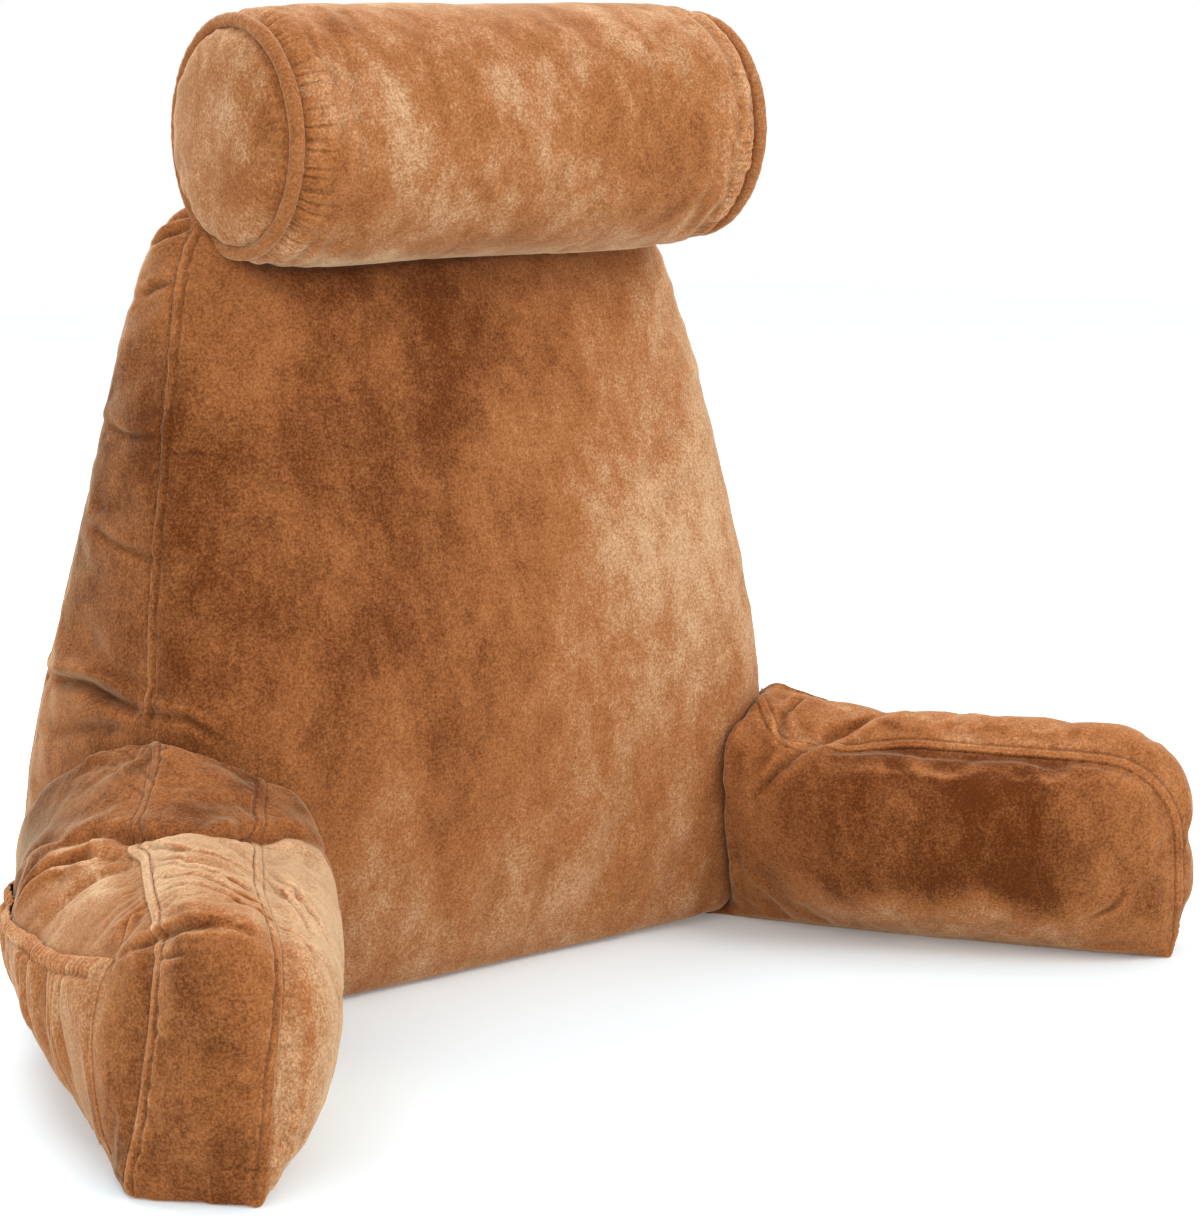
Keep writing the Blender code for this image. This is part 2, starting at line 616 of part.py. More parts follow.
def round_net(rings, closed):
    """A net of quads over rings of points, with the last ring joined to the first one where it's closed."""
    net = bmesh.new()
    loops = [[net.verts.new(place) for place in ring] for ring in rings]
    after_loops = loops[1:] + loops[:1] if closed else loops[1:]
    for first, second in zip(loops, after_loops):
        for step in range(len(first)):
            after = (step + 1) % len(first)
            net.faces.new((first[step], first[after], second[after], second[step]))
    return net, loops


def make_roll(material):
    half = roll_profile()
    rows = [(-along, radius, pucker) for along, radius, pucker in half] + half[-2::-1]
    rings = []
    for along, radius, pucker in rows:
        ring = []
        for step in range(ROLL_SIDES):
            angle = ring_angle(step)
            wave = math.cos(PUCKER_COUNT * angle + PUCKER_WANDER * math.sin(2 * angle))
            reach = radius - PUCKER_DEPTH * pucker * (1 + wave)
            ring.append((along, reach * math.cos(angle), reach * math.sin(angle)))
        rings.append(ring)
    net, loops = round_net(rings, closed=False)
    tip = ROLL_HALF_LENGTH + PIPING_RADIUS + GROOVE_PLAY + ROLL_CAP_CROWN
    for loop, end in ((loops[0], LEFT), (loops[-1], RIGHT)):
        centre = net.verts.new((end * tip, 0, 0))
        for step in range(ROLL_SIDES):
            net.faces.new((loop[step], loop[(step + 1) % ROLL_SIDES], centre))
    net.transform(roll_matrix())
    return object_from_net("neck_roll", net, material)


def make_piping(side, name, material):
    ring_radius = ROLL_RADIUS + PIPING_STAND + GAP
    rings = []
    for step in range(ROLL_SIDES):
        angle = ring_angle(step)
        ring = []
        for turn in range(PIPING_SIDES):
            around = 2 * math.pi * turn / PIPING_SIDES
            reach = ring_radius + PIPING_RADIUS * math.cos(around)
            along = side * ROLL_HALF_LENGTH + PIPING_RADIUS * math.sin(around)
            ring.append((along, reach * math.cos(angle), reach * math.sin(angle)))
        rings.append(ring)
    net, _ = round_net(rings, closed=True)
    net.transform(roll_matrix())
    return object_from_net(name, net, material)


def main():
    clear_scene()
    brown = cloth_material("velvet_brown", VELVET_BROWN)
    deep = cloth_material("velvet_deep", VELVET_DEEP)
    light = cloth_material("velvet_light", VELVET_LIGHT)
    backrest = make_backrest(brown)
    arms = [make_arm(LEFT, "arm_left", deep), make_arm(RIGHT, "arm_right", deep)]
    make_pocket(LEFT, "pocket_left", arms[0], brown)
    make_pocket(RIGHT, "pocket_right", arms[1], brown)
    roll = make_roll(light)
    piping = [make_piping(LEFT, "piping_left", deep), make_piping(RIGHT, "piping_right", deep)]
    for seated in [roll] + piping:
        cut_away(backrest, grown_copy(seated, GAP))
    backrest_cutter = grown_copy(backrest, GAP)
    for arm in arms:
        cut_away(arm, backrest_cutter)


main()
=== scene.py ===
"""Reading pillow with arms in caramel velvet: the filled backrest, arms and neck roll, their seams, folds,
stitches, piping and gathered side pockets, on a pale floor under soft light. Metres, +Z up, facing -Y."""

import math
from collections import namedtuple

import bmesh
import bpy
import numpy as np
from mathutils import Matrix, Vector, noise
from mathutils.bvhtree import BVHTree
from mathutils.kdtree import KDTree


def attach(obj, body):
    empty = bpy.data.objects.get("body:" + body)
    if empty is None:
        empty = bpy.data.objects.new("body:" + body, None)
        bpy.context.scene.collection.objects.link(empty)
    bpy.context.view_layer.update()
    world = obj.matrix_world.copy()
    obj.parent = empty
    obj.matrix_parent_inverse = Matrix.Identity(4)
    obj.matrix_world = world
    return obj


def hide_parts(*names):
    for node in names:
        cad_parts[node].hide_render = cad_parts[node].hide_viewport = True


LEFT, RIGHT = -1, 1
SIDE_NAMES = {LEFT: "left", RIGHT: "right"}

# ---------------------------------------------------------------- sizes shared with the solids
ARM_ROOT = Vector((0.243, -0.100, 0.0))
ARM_SPLAY = math.radians(27.7)
ARM_ROOT_RISE = {LEFT: 0.045, RIGHT: 0.024}
ARM_ROOT_RISE_LENGTH = 0.120
ARM_INNER_RISE_SHARE = 0.60

ROLL_CENTRE = Vector((0.001, -0.0965, 0.5920))
ROLL_TILT = math.radians(1.2)
ROLL_TURN = math.radians(-4.0)
ROLL_HALF_LENGTH = 0.1895
ROLL_RADIUS = 0.0735
PIPING_RADIUS = 0.0050
PIPING_RING_RADIUS = ROLL_RADIUS + 0.0014

POCKET_BACK, POCKET_FRONT_TOP, POCKET_FRONT_FOOT = -0.030, 0.256, 0.276
POCKET_FOOT = 0.016
MouthPoint = namedtuple("MouthPoint", "along height")
POCKET_MOUTH = (
    MouthPoint(-0.030, 0.110),
    MouthPoint(0.020, 0.100),
    MouthPoint(0.100, 0.103),
    MouthPoint(0.184, 0.110),
    MouthPoint(0.256, 0.125),
)
HEM_HEIGHT = 0.0125

# ---------------------------------------------------------------- seams
# Each seam is a raised fold on its stitched side, a row of stitches past it, and a valley on its other side.
SEAM_FOLD_WIDTH = 0.0068
SEAM_FOLD_HEIGHT = 0.0006
SEAM_STITCH_DEPTH = 0.0007
SEAM_VALLEY_DEPTH = 0.0007
STITCH_OFFSET, STITCH_GROOVE = 0.0072, 0.0011
SEAM_SLACK_LENGTH = 0.045
STITCH_PITCH = 0.0040
STITCH_LENGTH = 0.0029
STITCH_RADIUS = 0.00042

# Puckers run off a seam as thin valleys between low ridges.
PUCKER_LENGTH = 0.018
PUCKER_REACH = 4.5 * PUCKER_LENGTH
PUCKER_BEND, PUCKER_BEND_LENGTH = 0.25, 0.06
PUCKER_SHARPNESS = 3.2
VALLEY_SIDE_START = 0.001

SeamStyle = namedtuple("SeamStyle", "fold pucker pitch")
BACKREST_FRONT_STYLE = SeamStyle(1.8, 0.0006, 0.015)
BACKREST_REAR_STYLE = SeamStyle(1.0, 0.0004, 0.015)
ARM_STYLES = {LEFT: SeamStyle(1.0, 0.0010, 0.012), RIGHT: SeamStyle(1.0, 0.0006, 0.012)}
Seam = namedtuple("Seam", "path towards style")

# The two seams of an arm's band, in the arm's frame, without the rise at the root, as in the solids.
SeamRow = namedtuple("SeamRow", "along inner_out outer_out inner_height outer_height")
ARM_SEAM_ROWS = (
    SeamRow(-0.150, 0.010, 0.080, 0.140, 0.160),
    SeamRow(-0.080, -0.020, 0.052, 0.150, 0.180),
    SeamRow(0.000, -0.046, 0.020, 0.150, 0.160),
    SeamRow(0.060, -0.038, 0.028, 0.146, 0.154),
    SeamRow(0.120, -0.029, 0.038, 0.145, 0.151),
    SeamRow(0.200, -0.020, 0.046, 0.144, 0.150),
    SeamRow(0.280, -0.016, 0.050, 0.143, 0.149),
    SeamRow(0.337, -0.016, 0.050, 0.141, 0.147),
)
ARM_END, ARM_END_SKEW, ARM_SKEW_START = 0.337, 0.033, 0.050
ARM_NOSE_RADIUS = 0.050
ArmEdge = namedtuple("ArmEdge", "out height start foot_out rise_share skew")
INNER_EDGE = ArmEdge("inner_out", "inner_height", -0.060, 0.000, ARM_INNER_RISE_SHARE, 0.0)
OUTER_EDGE = ArmEdge("outer_out", "outer_height", -0.030, 0.072, 1.0, ARM_END_SKEW)
TOP_STEPS, NOSE_STEPS = 13, 5
FRONT_SHARES = (0.66, 0.33, 0.03)

# How far out the left arm's outer seam strays, up to the main crease over the arm.
LEFT_SEAM_ALONG = (-0.030, 0.000, 0.030, 0.060, 0.097, 0.132, 0.166)
LEFT_SEAM_STRAY = (0.0095, 0.0110, 0.0130, 0.0150, 0.0190, 0.0060, 0.0000)

# Where the right arm's inner seam drops from the backrest before it runs along the arm.
RIGHT_SEAM_START = (
    (0.2330, -0.1400, 0.1720),
    (0.2270, -0.1520, 0.1620),
    (0.2225, -0.1660, 0.1530),
    (0.2230, -0.1820, 0.1475),
    (0.2360, -0.1935, 0.1475),
)

# How far along the arm the rest of that seam begins.
RIGHT_SEAM_JOIN = 0.130

# The backrest's levels, as in the solids, and how deep its two seams run, as a share from front to back.
Level = namedtuple("Level", "height half_width lean front back")
BACKREST_LEVELS = (
    Level(0.000, 0.242, 0.000, -0.108, 0.104),
    Level(0.060, 0.257, 0.002, -0.116, 0.112),
    Level(0.190, 0.261, 0.005, -0.124, 0.096),
    Level(0.320, 0.245, 0.006, -0.106, 0.061),
    Level(0.420, 0.226, 0.004, -0.090, 0.040),
    Level(0.505, 0.205, 0.002, -0.072, 0.024),
    Level(0.560, 0.182, 0.002, -0.056, 0.014),
)
BACKREST_HALF_WIDTH, BACKREST_CORNER = 0.250, 0.055
BACKREST_SIDE_CROWN, BACKREST_TOP_CROWN, TOP_CROWN_START = 0.008, 0.010, 0.75
SIDE_CROWN_POWER, TOP_CROWN_POWER = 5, 2.4
SEAM_FOOT = 0.006
FRONT_SEAM_DEPTH, REAR_SEAM_DEPTH = 0.225, 0.950
SIDE_STEPS, CORNER_STEPS = 10, 4

# ---------------------------------------------------------------- folds
# Each fold is a valley along a path on the cloth. The cloth is heaped up to the left of its course, or to the
# right where the heap is below 0.
FOLD_REACH = 4.5
FOLD_END, FOLD_END_POWER = 0.02, 0.55
FOLD_WANDER, FOLD_WANDER_LENGTH, FOLD_SEED = 0.25, 0.02, 21
Fold = namedtuple("Fold", "path width depth heap")


def fold(width, depth, heap, *path):
    """A fold from its width, its depth and the places on its path, all in millimetres."""
    return Fold([[value / 1000 for value in place] for place in path], width / 1000, depth / 1000, heap)


BACKREST_FOLDS = (
    fold(6, 9.5, 0.9, (-259, 50, 222), (-262, 0, 226), (-262, -30, 222), (-261, -66, 217)),
    fold(7, 4, 0.6, (-264, 40, 186), (-267, 0, 196), (-264, -56, 203)),
    fold(4.5, 5, 0.9, (-196, 0, 514), (-198, -15, 520), (-188, -34, 528)),
    fold(4, 4, 0.9, (-190, 4, 530), (-184, -16, 538), (-178, -34, 541)),
    fold(4, 3, 0.8, (-214, -10, 484), (-211, -25, 488), (-208, -44, 493)),
    fold(4, 2.6, 0.7, (-229, 12, 398), (-235, -20, 393), (-233, -58, 394)),
    fold(4.5, 2.8, 0.7, (-244, 10, 328), (-248, -25, 321), (-247, -64, 315)),
    fold(3.5, 1.2, 0.5, (-236, -70, 385), (-225, -84, 386), (-204, -99, 382)),
    fold(3.5, 1.1, 0.5, (-247, -76, 318), (-238, -92, 317), (-226, -103, 318)),
    fold(4, 3.2, 0.7, (-258, -90, 216), (-251, -108, 215), (-236, -119, 203)),
    fold(6, 8, 0.9, (262, 40, 222), (270, 0, 226), (272, -60, 216)),
    fold(4.5, 4.5, 0.9, (196, 0, 518), (204, -16, 520), (202, -40, 526)),
    fold(4, 2.6, 0.7, (238, 10, 402), (244, -20, 396), (243, -56, 398)),
    fold(4.5, 2.8, 0.7, (256, 14, 312), (262, -24, 306), (260, -62, 302)),
)
ARM_FOLDS = {
    LEFT: (
        fold(7.5, 6.2, 0.55, (-344, -95, 135), (-330, -118, 149), (-323, -151, 154), (-316, -189, 162),
            (-300, -212, 165), (-261, -197, 156), (-228, -188, 150), (-200, -186, 136)),
        fold(6.5, 4.6, 0.7, (-338, -100, 148), (-334, -66, 138), (-332, -43, 122), (-330, -18, 98)),
        fold(6, 5.5, 0.8, (-345, -150, 148), (-350, -122, 140), (-357, -104, 126), (-366, -90, 103)),
        fold(4, 3.2, 0.9, (-394, -286, 150), (-404, -276, 143), (-420, -290, 129)),
        fold(4.2, 3.6, -0.9, (-404, -372, 156), (-414, -350, 152), (-417, -328, 144), (-424, -306, 131)),
        fold(2.8, 1.8, 0.8, (-426, -338, 136), (-425, -352, 139), (-420, -364, 140)),
        fold(3, 1.4, 0.8, (-326, -170, 152), (-342, -243, 166), (-326, -262, 162), (-312, -272, 149)),
        fold(2.8, 1.2, 0.8, (-350, -215, 158), (-354, -262, 166), (-342, -284, 162), (-325, -290, 149)),
        fold(3, 1.4, 0.8, (-360, -232, 158), (-361, -277, 166), (-350, -303, 161), (-334, -310, 147)),
        fold(2.8, 1.3, 0.8, (-376, -265, 158), (-371, -300, 166), (-362, -328, 160), (-343, -332, 143)),
        fold(3, 1.5, 0.8, (-389, -292, 159), (-381, -321, 165), (-374, -348, 160), (-353, -351, 143),
            (-352, -380, 124)),
        fold(3, 1.6, 0.8, (-292, -247, 146), (-307, -296, 141), (-326, -345, 129)),
        fold(3, 1.4, 0.8, (-280, -228, 138), (-296, -290, 130), (-318, -340, 114)),
    ),
    RIGHT: (
        fold(5.5, 4, -0.9, (199, -181, 130), (211, -189, 140), (232, -190, 147), (254, -194, 153),
            (277, -200, 162), (297, -204, 166)),
        fold(4.5, 3, 0.9, (219, -180, 150), (240, -157, 165), (269, -148, 171), (286, -150, 170)),
        fold(4.5, 2.8, 0.9, (190, -170, 112), (205, -178, 126), (222, -184, 141)),
        fold(6, 5, 0.8, (330, -128, 150), (330, -72, 136), (326, -35, 110)),
        fold(4.5, 3.4, 0.8, (392, -272, 150), (408, -262, 138), (424, -268, 122)),
        fold(3.5, 1.6, 0.8, (352, -392, 60), (345, -384, 42), (336, -372, 30)),
        fold(3.2, 1.2, 0.8, (326, -172, 152), (342, -243, 166), (328, -262, 162)),
    ),
}


# ---------------------------------------------------------------- small tools
def mix(first, second, share):
    return first + (second - first) * share


def ease(low, high, value):
    """0 at low and before it, 1 at high and past it, and smooth between them."""
    part = np.clip((value - low) / (high - low), 0.0, 1.0)
    return part * part * (3 - 2 * part)


def bump_at(centre, width, value):
    return np.exp(-(((value - centre) / width) ** 2))


def thin_valleys(streaks, sharpness):
    """1 where a noise passes through zero, falling fast to 0 on both sides."""
    return np.maximum(0.0, 1 - np.abs(streaks) * sharpness) ** 2


def rows_of(*columns):
    return np.stack(np.broadcast_arrays(*columns), axis=1)


def deselect_all():
    if bpy.context.mode != "OBJECT":
        bpy.ops.object.mode_set(mode="OBJECT")
    bpy.ops.object.select_all(action="DESELECT")


def make_active(piece):
    deselect_all()
    piece.select_set(True)
    bpy.context.view_layer.objects.active = piece


def new_object(name, data):
    piece = bpy.data.objects.new(name, data)
    bpy.context.scene.collection.objects.link(piece)
    return piece


def points_of(piece):
    points = np.empty(len(piece.data.vertices) * 3)
    piece.data.vertices.foreach_get("co", points)
    return points.reshape(-1, 3)


def set_points(piece, points):
    piece.data.vertices.foreach_set("co", points.ravel())
    piece.data.update()


def normals_of(piece):
    normals = np.empty(len(piece.data.vertices) * 3, np.float32)
    piece.data.vertex_normals.foreach_get("vector", normals)
    return normals.reshape(-1, 3).astype(float)


def skin_of(piece):
    corners = [point.co.copy() for point in piece.data.vertices]
    return BVHTree.FromPolygons(corners, [face.vertices[:] for face in piece.data.polygons])


def apply_modifier(piece, modifier):
    make_active(piece)
    bpy.ops.object.modifier_apply(modifier=modifier.name)


def edit_all(operation):
    """Runs a mesh operation on the whole of the active piece."""
    bpy.ops.object.mode_set(mode="EDIT")
    bpy.ops.mesh.select_all(action="SELECT")
    operation()
    bpy.ops.object.mode_set(mode="OBJECT")


def arm_axes(side):
    """(forward, outward, root) of an arm's frame."""
    forward = Vector((side * math.sin(ARM_SPLAY), -math.cos(ARM_SPLAY), 0))
    outward = Vector((side * math.cos(ARM_SPLAY), math.sin(ARM_SPLAY), 0))
    return forward, outward, Vector((side * ARM_ROOT.x, ARM_ROOT.y, 0))


def arm_place(side, along, out, height):
    forward, outward, root = arm_axes(side)
    return root + forward * along + outward * out + Vector((0, 0, height))


def arm_coordinates(side, points):
    """(along, out, height) of each point in the arm's frame."""
    forward, outward, root = [np.array(axis) for axis in arm_axes(side)]
    return (points - root) @ forward, (points - root) @ outward, points[:, 2]


def smooth_value(rows, key, column, place):
    """A column's value at a place along the key column, on a smooth curve through the rows."""
    keys = [getattr(row, key) for row in rows]
    values = [getattr(row, column) for row in rows]
    slopes = np.gradient(values, keys)
    place = min(max(place, keys[0]), keys[-1])
    upper = min(max(int(np.searchsorted(keys, place)), 1), len(keys) - 1)
    lower = upper - 1
    span = keys[upper] - keys[lower]
    part = (place - keys[lower]) / span
    leave = part * (1 - part) ** 2 * span * slopes[lower]
    arrive = -part * part * (1 - part) * span * slopes[upper]
    return mix(values[lower], values[upper], part * part * (3 - 2 * part)) + leave + arrive


def arm_seam(side, edge, stray=None):
    """(places, their lengths along the arm) of a seam: over the arm's top, round its nose and to its foot."""
    nose = ARM_END - ARM_NOSE_RADIUS
    runs = [(along, 0.0) for along in np.linspace(edge.start, nose, TOP_STEPS)]
    for turn in np.linspace(0, math.pi / 2, NOSE_STEPS + 1)[1:]:
        runs.append((nose + ARM_NOSE_RADIUS * math.sin(turn), ARM_NOSE_RADIUS * (1 - math.cos(turn))))
    top = smooth_value(ARM_SEAM_ROWS, "along", edge.height, ARM_END)
    runs += [(ARM_END, top - (top - ARM_NOSE_RADIUS) * share) for share in FRONT_SHARES]
    places = []
    for along, drop in runs:
        height = smooth_value(ARM_SEAM_ROWS, "along", edge.height, along) - drop
        top_out = smooth_value(ARM_SEAM_ROWS, "along", edge.out, along)
        out = mix(edge.foot_out, top_out, height / (height + drop))
        if stray:
            out += stray(along)
        height += ARM_ROOT_RISE[side] * edge.rise_share * (1 - ease(0.0, ARM_ROOT_RISE_LENGTH, along))
        skewed = along - edge.skew * ease(ARM_SKEW_START, ARM_END, along)
        places.append(arm_place(side, skewed, out, height))
    return places, [along for along, _ in runs]


def backrest_seam(depth):
    """The path of the seam at a depth of the backrest, up its left side, over its top and down its right."""
    top = BACKREST_LEVELS[-1].height
    shoulder = top - BACKREST_CORNER
    runs = [(1.0, height) for height in np.linspace(SEAM_FOOT, shoulder, SIDE_STEPS)]
    for turn in np.linspace(0, math.pi / 2, CORNER_STEPS + 1)[1:]:
        inset = BACKREST_CORNER * (1 - math.cos(turn)) / BACKREST_HALF_WIDTH
        runs.append((1 - inset, shoulder + BACKREST_CORNER * math.sin(turn)))
    left, right = [], []
    for width, height in runs + [(0.0, top)]:
        columns = [smooth_value(BACKREST_LEVELS, "height", name, height) for name in Level._fields[1:]]
        level = Level(height, *columns)
        side_crown = BACKREST_SIDE_CROWN * width**SIDE_CROWN_POWER * (1 - (2 * depth - 1) ** 2)
        half = width * level.half_width + side_crown
        crown = BACKREST_TOP_CROWN * ease(TOP_CROWN_START, 1.0, height / top) * (1 - width**TOP_CROWN_POWER)
        for points, side in ((left, LEFT), (right, RIGHT)):
            points.append((level.lean + side * half, mix(level.front, level.back, depth), height + crown))
    return left + right[-2::-1]


def roll_matrix():
    turned = Matrix.Rotation(ROLL_TURN, 4, "Z") @ Matrix.Rotation(-ROLL_TILT, 4, "Y")
    return Matrix.Translation(ROLL_CENTRE) @ turned


# ---------------------------------------------------------------- lines on the cloth
Line = namedtuple("Line", "places tangents sideways normals arc tree")
LINE_STEP = 0.0015
CURVE_STEPS = 24
NORMAL_WINDOW = 9


def arc_of(places):
    """How far along their path the places lie."""
    return np.concatenate([[0], np.cumsum(np.linalg.norm(np.diff(places, axis=0), axis=1))])


def even_path(points, closed=False):
    """A smooth curve through the points, in even steps."""
    points = np.array([tuple(point) for point in points], float)
    if closed:
        points = np.vstack([points[-1:], points, points[:2]])
    else:
        points = np.vstack([2 * points[0] - points[1], points, 2 * points[-1] - points[-2]])
    curve = []
    for before, start, end, after in zip(points, points[1:], points[2:], points[3:]):
        bend = 2 * before - 5 * start + 4 * end - after
        twist = 3 * start - before - 3 * end + after
        for share in np.linspace(0, 1, CURVE_STEPS, endpoint=False):
            square, cube = share * share, share * share * share
            curve.append(0.5 * (2 * start + (end - before) * share + bend * square + twist * cube))
    curve = np.array(curve + [points[-2]])
    arc = arc_of(curve)
    places = np.linspace(0, arc[-1], max(int(arc[-1] / LINE_STEP), 4))
    return rows_of(*[np.interp(places, arc, curve[:, axis]) for axis in range(3)])


def unit(vectors):
    return vectors / np.maximum(np.linalg.norm(vectors, axis=1), 1e-9)[:, None]


def line_on(skin, points, towards=1, closed=False):
    """A line laid on the cloth. Its sideways direction is to the left of its course, or the right for -1."""
    places, normals = [], []
    for place in even_path(points, closed):
        here, normal, _, _ = skin.find_nearest(Vector(place))
        places.append(here[:])
        normals.append(normal[:])
    places = np.array(places)
    window = np.ones(NORMAL_WINDOW) / NORMAL_WINDOW
    margin = NORMAL_WINDOW // 2
    wide = np.pad(np.array(normals), ((margin, margin), (0, 0)), mode="edge")
    normals = unit(rows_of(*[np.convolve(wide[:, axis], window, "valid") for axis in range(3)]))
    tangents = unit(np.gradient(places, axis=0))
    sideways = unit(np.cross(normals, tangents)) * towards
    tree = KDTree(len(places))
    for index, place in enumerate(places):
        tree.insert(place, index)
    tree.balance()
    return Line(places, tangents, sideways, normals, arc_of(places), tree)


def near(line, points, reach):
    """(indices of the points within reach of the line, their distance across it, their place along it)."""
    low, high = line.places.min(axis=0) - reach, line.places.max(axis=0) + reach
    found = np.nonzero(((points > low) & (points < high)).all(axis=1))[0]
    nearest = np.empty(len(found), int)
    gaps = np.empty(len(found))
    for row, place in enumerate(points[found]):
        _, nearest[row], gaps[row] = line.tree.find(place)
    kept = gaps < reach
    found, nearest = found[kept], nearest[kept]
    offset = points[found] - line.places[nearest]
    across = (offset * line.sideways[nearest]).sum(axis=1)
    along = line.arc[nearest] + (offset * line.tangents[nearest]).sum(axis=1)
    return found, across, along


def noise_at(places, scale, seed):
    """Smooth noise from about -1 to 1 at rows of coordinates."""
    shift = Vector((seed * 17.3, seed * 5.1, seed * 9.7))
    return np.array([noise.noise(Vector(place) * scale + shift) for place in places])


def noise_along(along, length, seed):
    return noise_at(rows_of(along, 0, 0), 1 / length, seed)


def noise_round(angle, along, scales, seed):
    """Noise that closes on itself round a ring, with its scales round the ring and along it."""
    around, lengthwise = scales
    return noise_at(rows_of(np.cos(angle) * around, np.sin(angle) * around, along * lengthwise), 1.0, seed)


def seam_push(line, points, push, style, seed):
    """Adds the seam's fold, stitched groove and valley, and the short puckers that run off it, to push."""
    found, across, along = near(line, points, PUCKER_REACH)
    relief = SEAM_FOLD_HEIGHT * (ease(-0.0006, 0.0010, across) - ease(0.0045, SEAM_FOLD_WIDTH, across))
    relief -= SEAM_STITCH_DEPTH * bump_at(STITCH_OFFSET, STITCH_GROOVE, across)
    relief -= SEAM_VALLEY_DEPTH * (bump_at(-0.0010, 0.0012, across) + 0.45 * bump_at(-0.006, 0.006, across))
    push[found] += style.fold * relief * (1 + 0.35 * noise_along(along, SEAM_SLACK_LENGTH, seed + 3))
    for sign, start, lot in ((1, SEAM_FOLD_WIDTH, seed), (-1, VALLEY_SIDE_START, seed + 1)):
        rows = (across * sign) > 0
        reach = np.abs(across[rows])
        sway = noise_along(along[rows], PUCKER_BEND_LENGTH, seed + 5)
        bend = along[rows] + PUCKER_BEND * reach * sway
        streak = noise_at(rows_of(bend / style.pitch, reach / (style.pitch * 5), 0), 1.0, lot)
        ridge = noise_at(rows_of(bend / (2.3 * style.pitch), reach / (style.pitch * 8), 0), 1.0, lot + 7)
        fade = np.exp(-reach / PUCKER_LENGTH) * ease(start - 0.003, start + 0.003, reach)
        push[found[rows]] += style.pucker * fade * (1.2 * ridge - thin_valleys(streak, PUCKER_SHARPNESS))


def fold_push(line, fold, points, push):
    """Adds the fold's valley, the heap beside it and the low swelling on its other side to push."""
    found, across, along = near(line, points, fold.width * FOLD_REACH)
    share = np.clip(along / line.arc[-1], FOLD_END, 1 - FOLD_END)
    fade = np.sin(np.pi * share) ** FOLD_END_POWER
    side, heap = math.copysign(1, fold.heap), abs(fold.heap)
    wander = 1 + FOLD_WANDER * noise_along(along, FOLD_WANDER_LENGTH, FOLD_SEED)
    shape = -bump_at(0.0, fold.width * 0.75, across)
    shape += heap * 0.75 * bump_at(side * fold.width * 1.45, fold.width * 0.95, across)
    shape += heap * 0.25 * bump_at(-side * fold.width * 1.7, fold.width, across)
    push[found] += fold.depth * fade * wander * shape


# ---------------------------------------------------------------- filled pieces
MERGE_DISTANCE = 0.00002


def copy_of_node(node):
    """A piece with the node's form, as one closed net."""
    name = node + "_cushion"
    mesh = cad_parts[node].data.copy()
    mesh.name = name
    mesh.materials.clear()
    piece = new_object(name, mesh)
    make_active(piece)
    edit_all(lambda: bpy.ops.mesh.remove_doubles(threshold=MERGE_DISTANCE))
    return piece


def edge_ends(piece):
    ends = np.empty(len(piece.data.edges) * 2, int)
    piece.data.edges.foreach_get("vertices", ends)
    return ends.reshape(-1, 2).T


def mean_of_neighbours(ends, values):
    first, second = ends
    size = len(values)
    count = np.maximum(np.bincount(first, minlength=size) + np.bincount(second, minlength=size), 1)
    return (np.bincount(first, values[second], size) + np.bincount(second, values[first], size)) / count


def smoothed(piece, values, rounds):
    ends = edge_ends(piece)
    for _ in range(rounds):
        values = 0.5 * values + 0.5 * mean_of_neighbours(ends, values)
    return values


SHRINK, REGROW = 0.50, -0.525
STILL_HEIGHT, FREE_HEIGHT = 0.0015, 0.006


def even_net(piece, voxel, rounds):
    """Gives the piece an even net of quads, and smooths the facets out of it without shrinking it."""
    modifier = piece.modifiers.new("even net", "REMESH")
    modifier.mode = "VOXEL"
    modifier.voxel_size = voxel
    apply_modifier(piece, modifier)
    ends, points = edge_ends(piece), points_of(piece)
    free = ease(STILL_HEIGHT, FREE_HEIGHT, points[:, 2])
    for _ in range(rounds):
        for factor in (SHRINK, REGROW):
            for axis in range(3):
                away = mean_of_neighbours(ends, points[:, axis]) - points[:, axis]
                points[:, axis] += factor * free * away
    set_points(piece, points)


LIP_REACH, LIP_SHARE, LIP_ROUNDS = 0.012, 0.6, 14


def soften_lips(piece, room):
    """Rounds off the thin lips that a piece has where it ends against a neighbour."""
    ends, points = edge_ends(piece), points_of(piece)
    share = LIP_SHARE * ease(LIP_REACH, 0.25 * LIP_REACH, room) * ease(0.002, 0.008, points[:, 2])
    for _ in range(LIP_ROUNDS):
        for axis in range(3):
            points[:, axis] += share * (mean_of_neighbours(ends, points[:, axis]) - points[:, axis])
    set_points(piece, points)


CLOTH = {
    "quality": 4,
    "mass": 0.25,
    "tension_stiffness": 12,
    "compression_stiffness": 12,
    "shear_stiffness": 4,
    "bending_stiffness": 0.08,
    "use_pressure": True,
    "uniform_pressure_force": 4.0,
    "shrink_min": -0.035,
}
CLOTH_FRAMES = 20
SEWN_REACH, FLOOR_HOLD = 0.012, 0.006
SWELLING_ROUNDS = 60


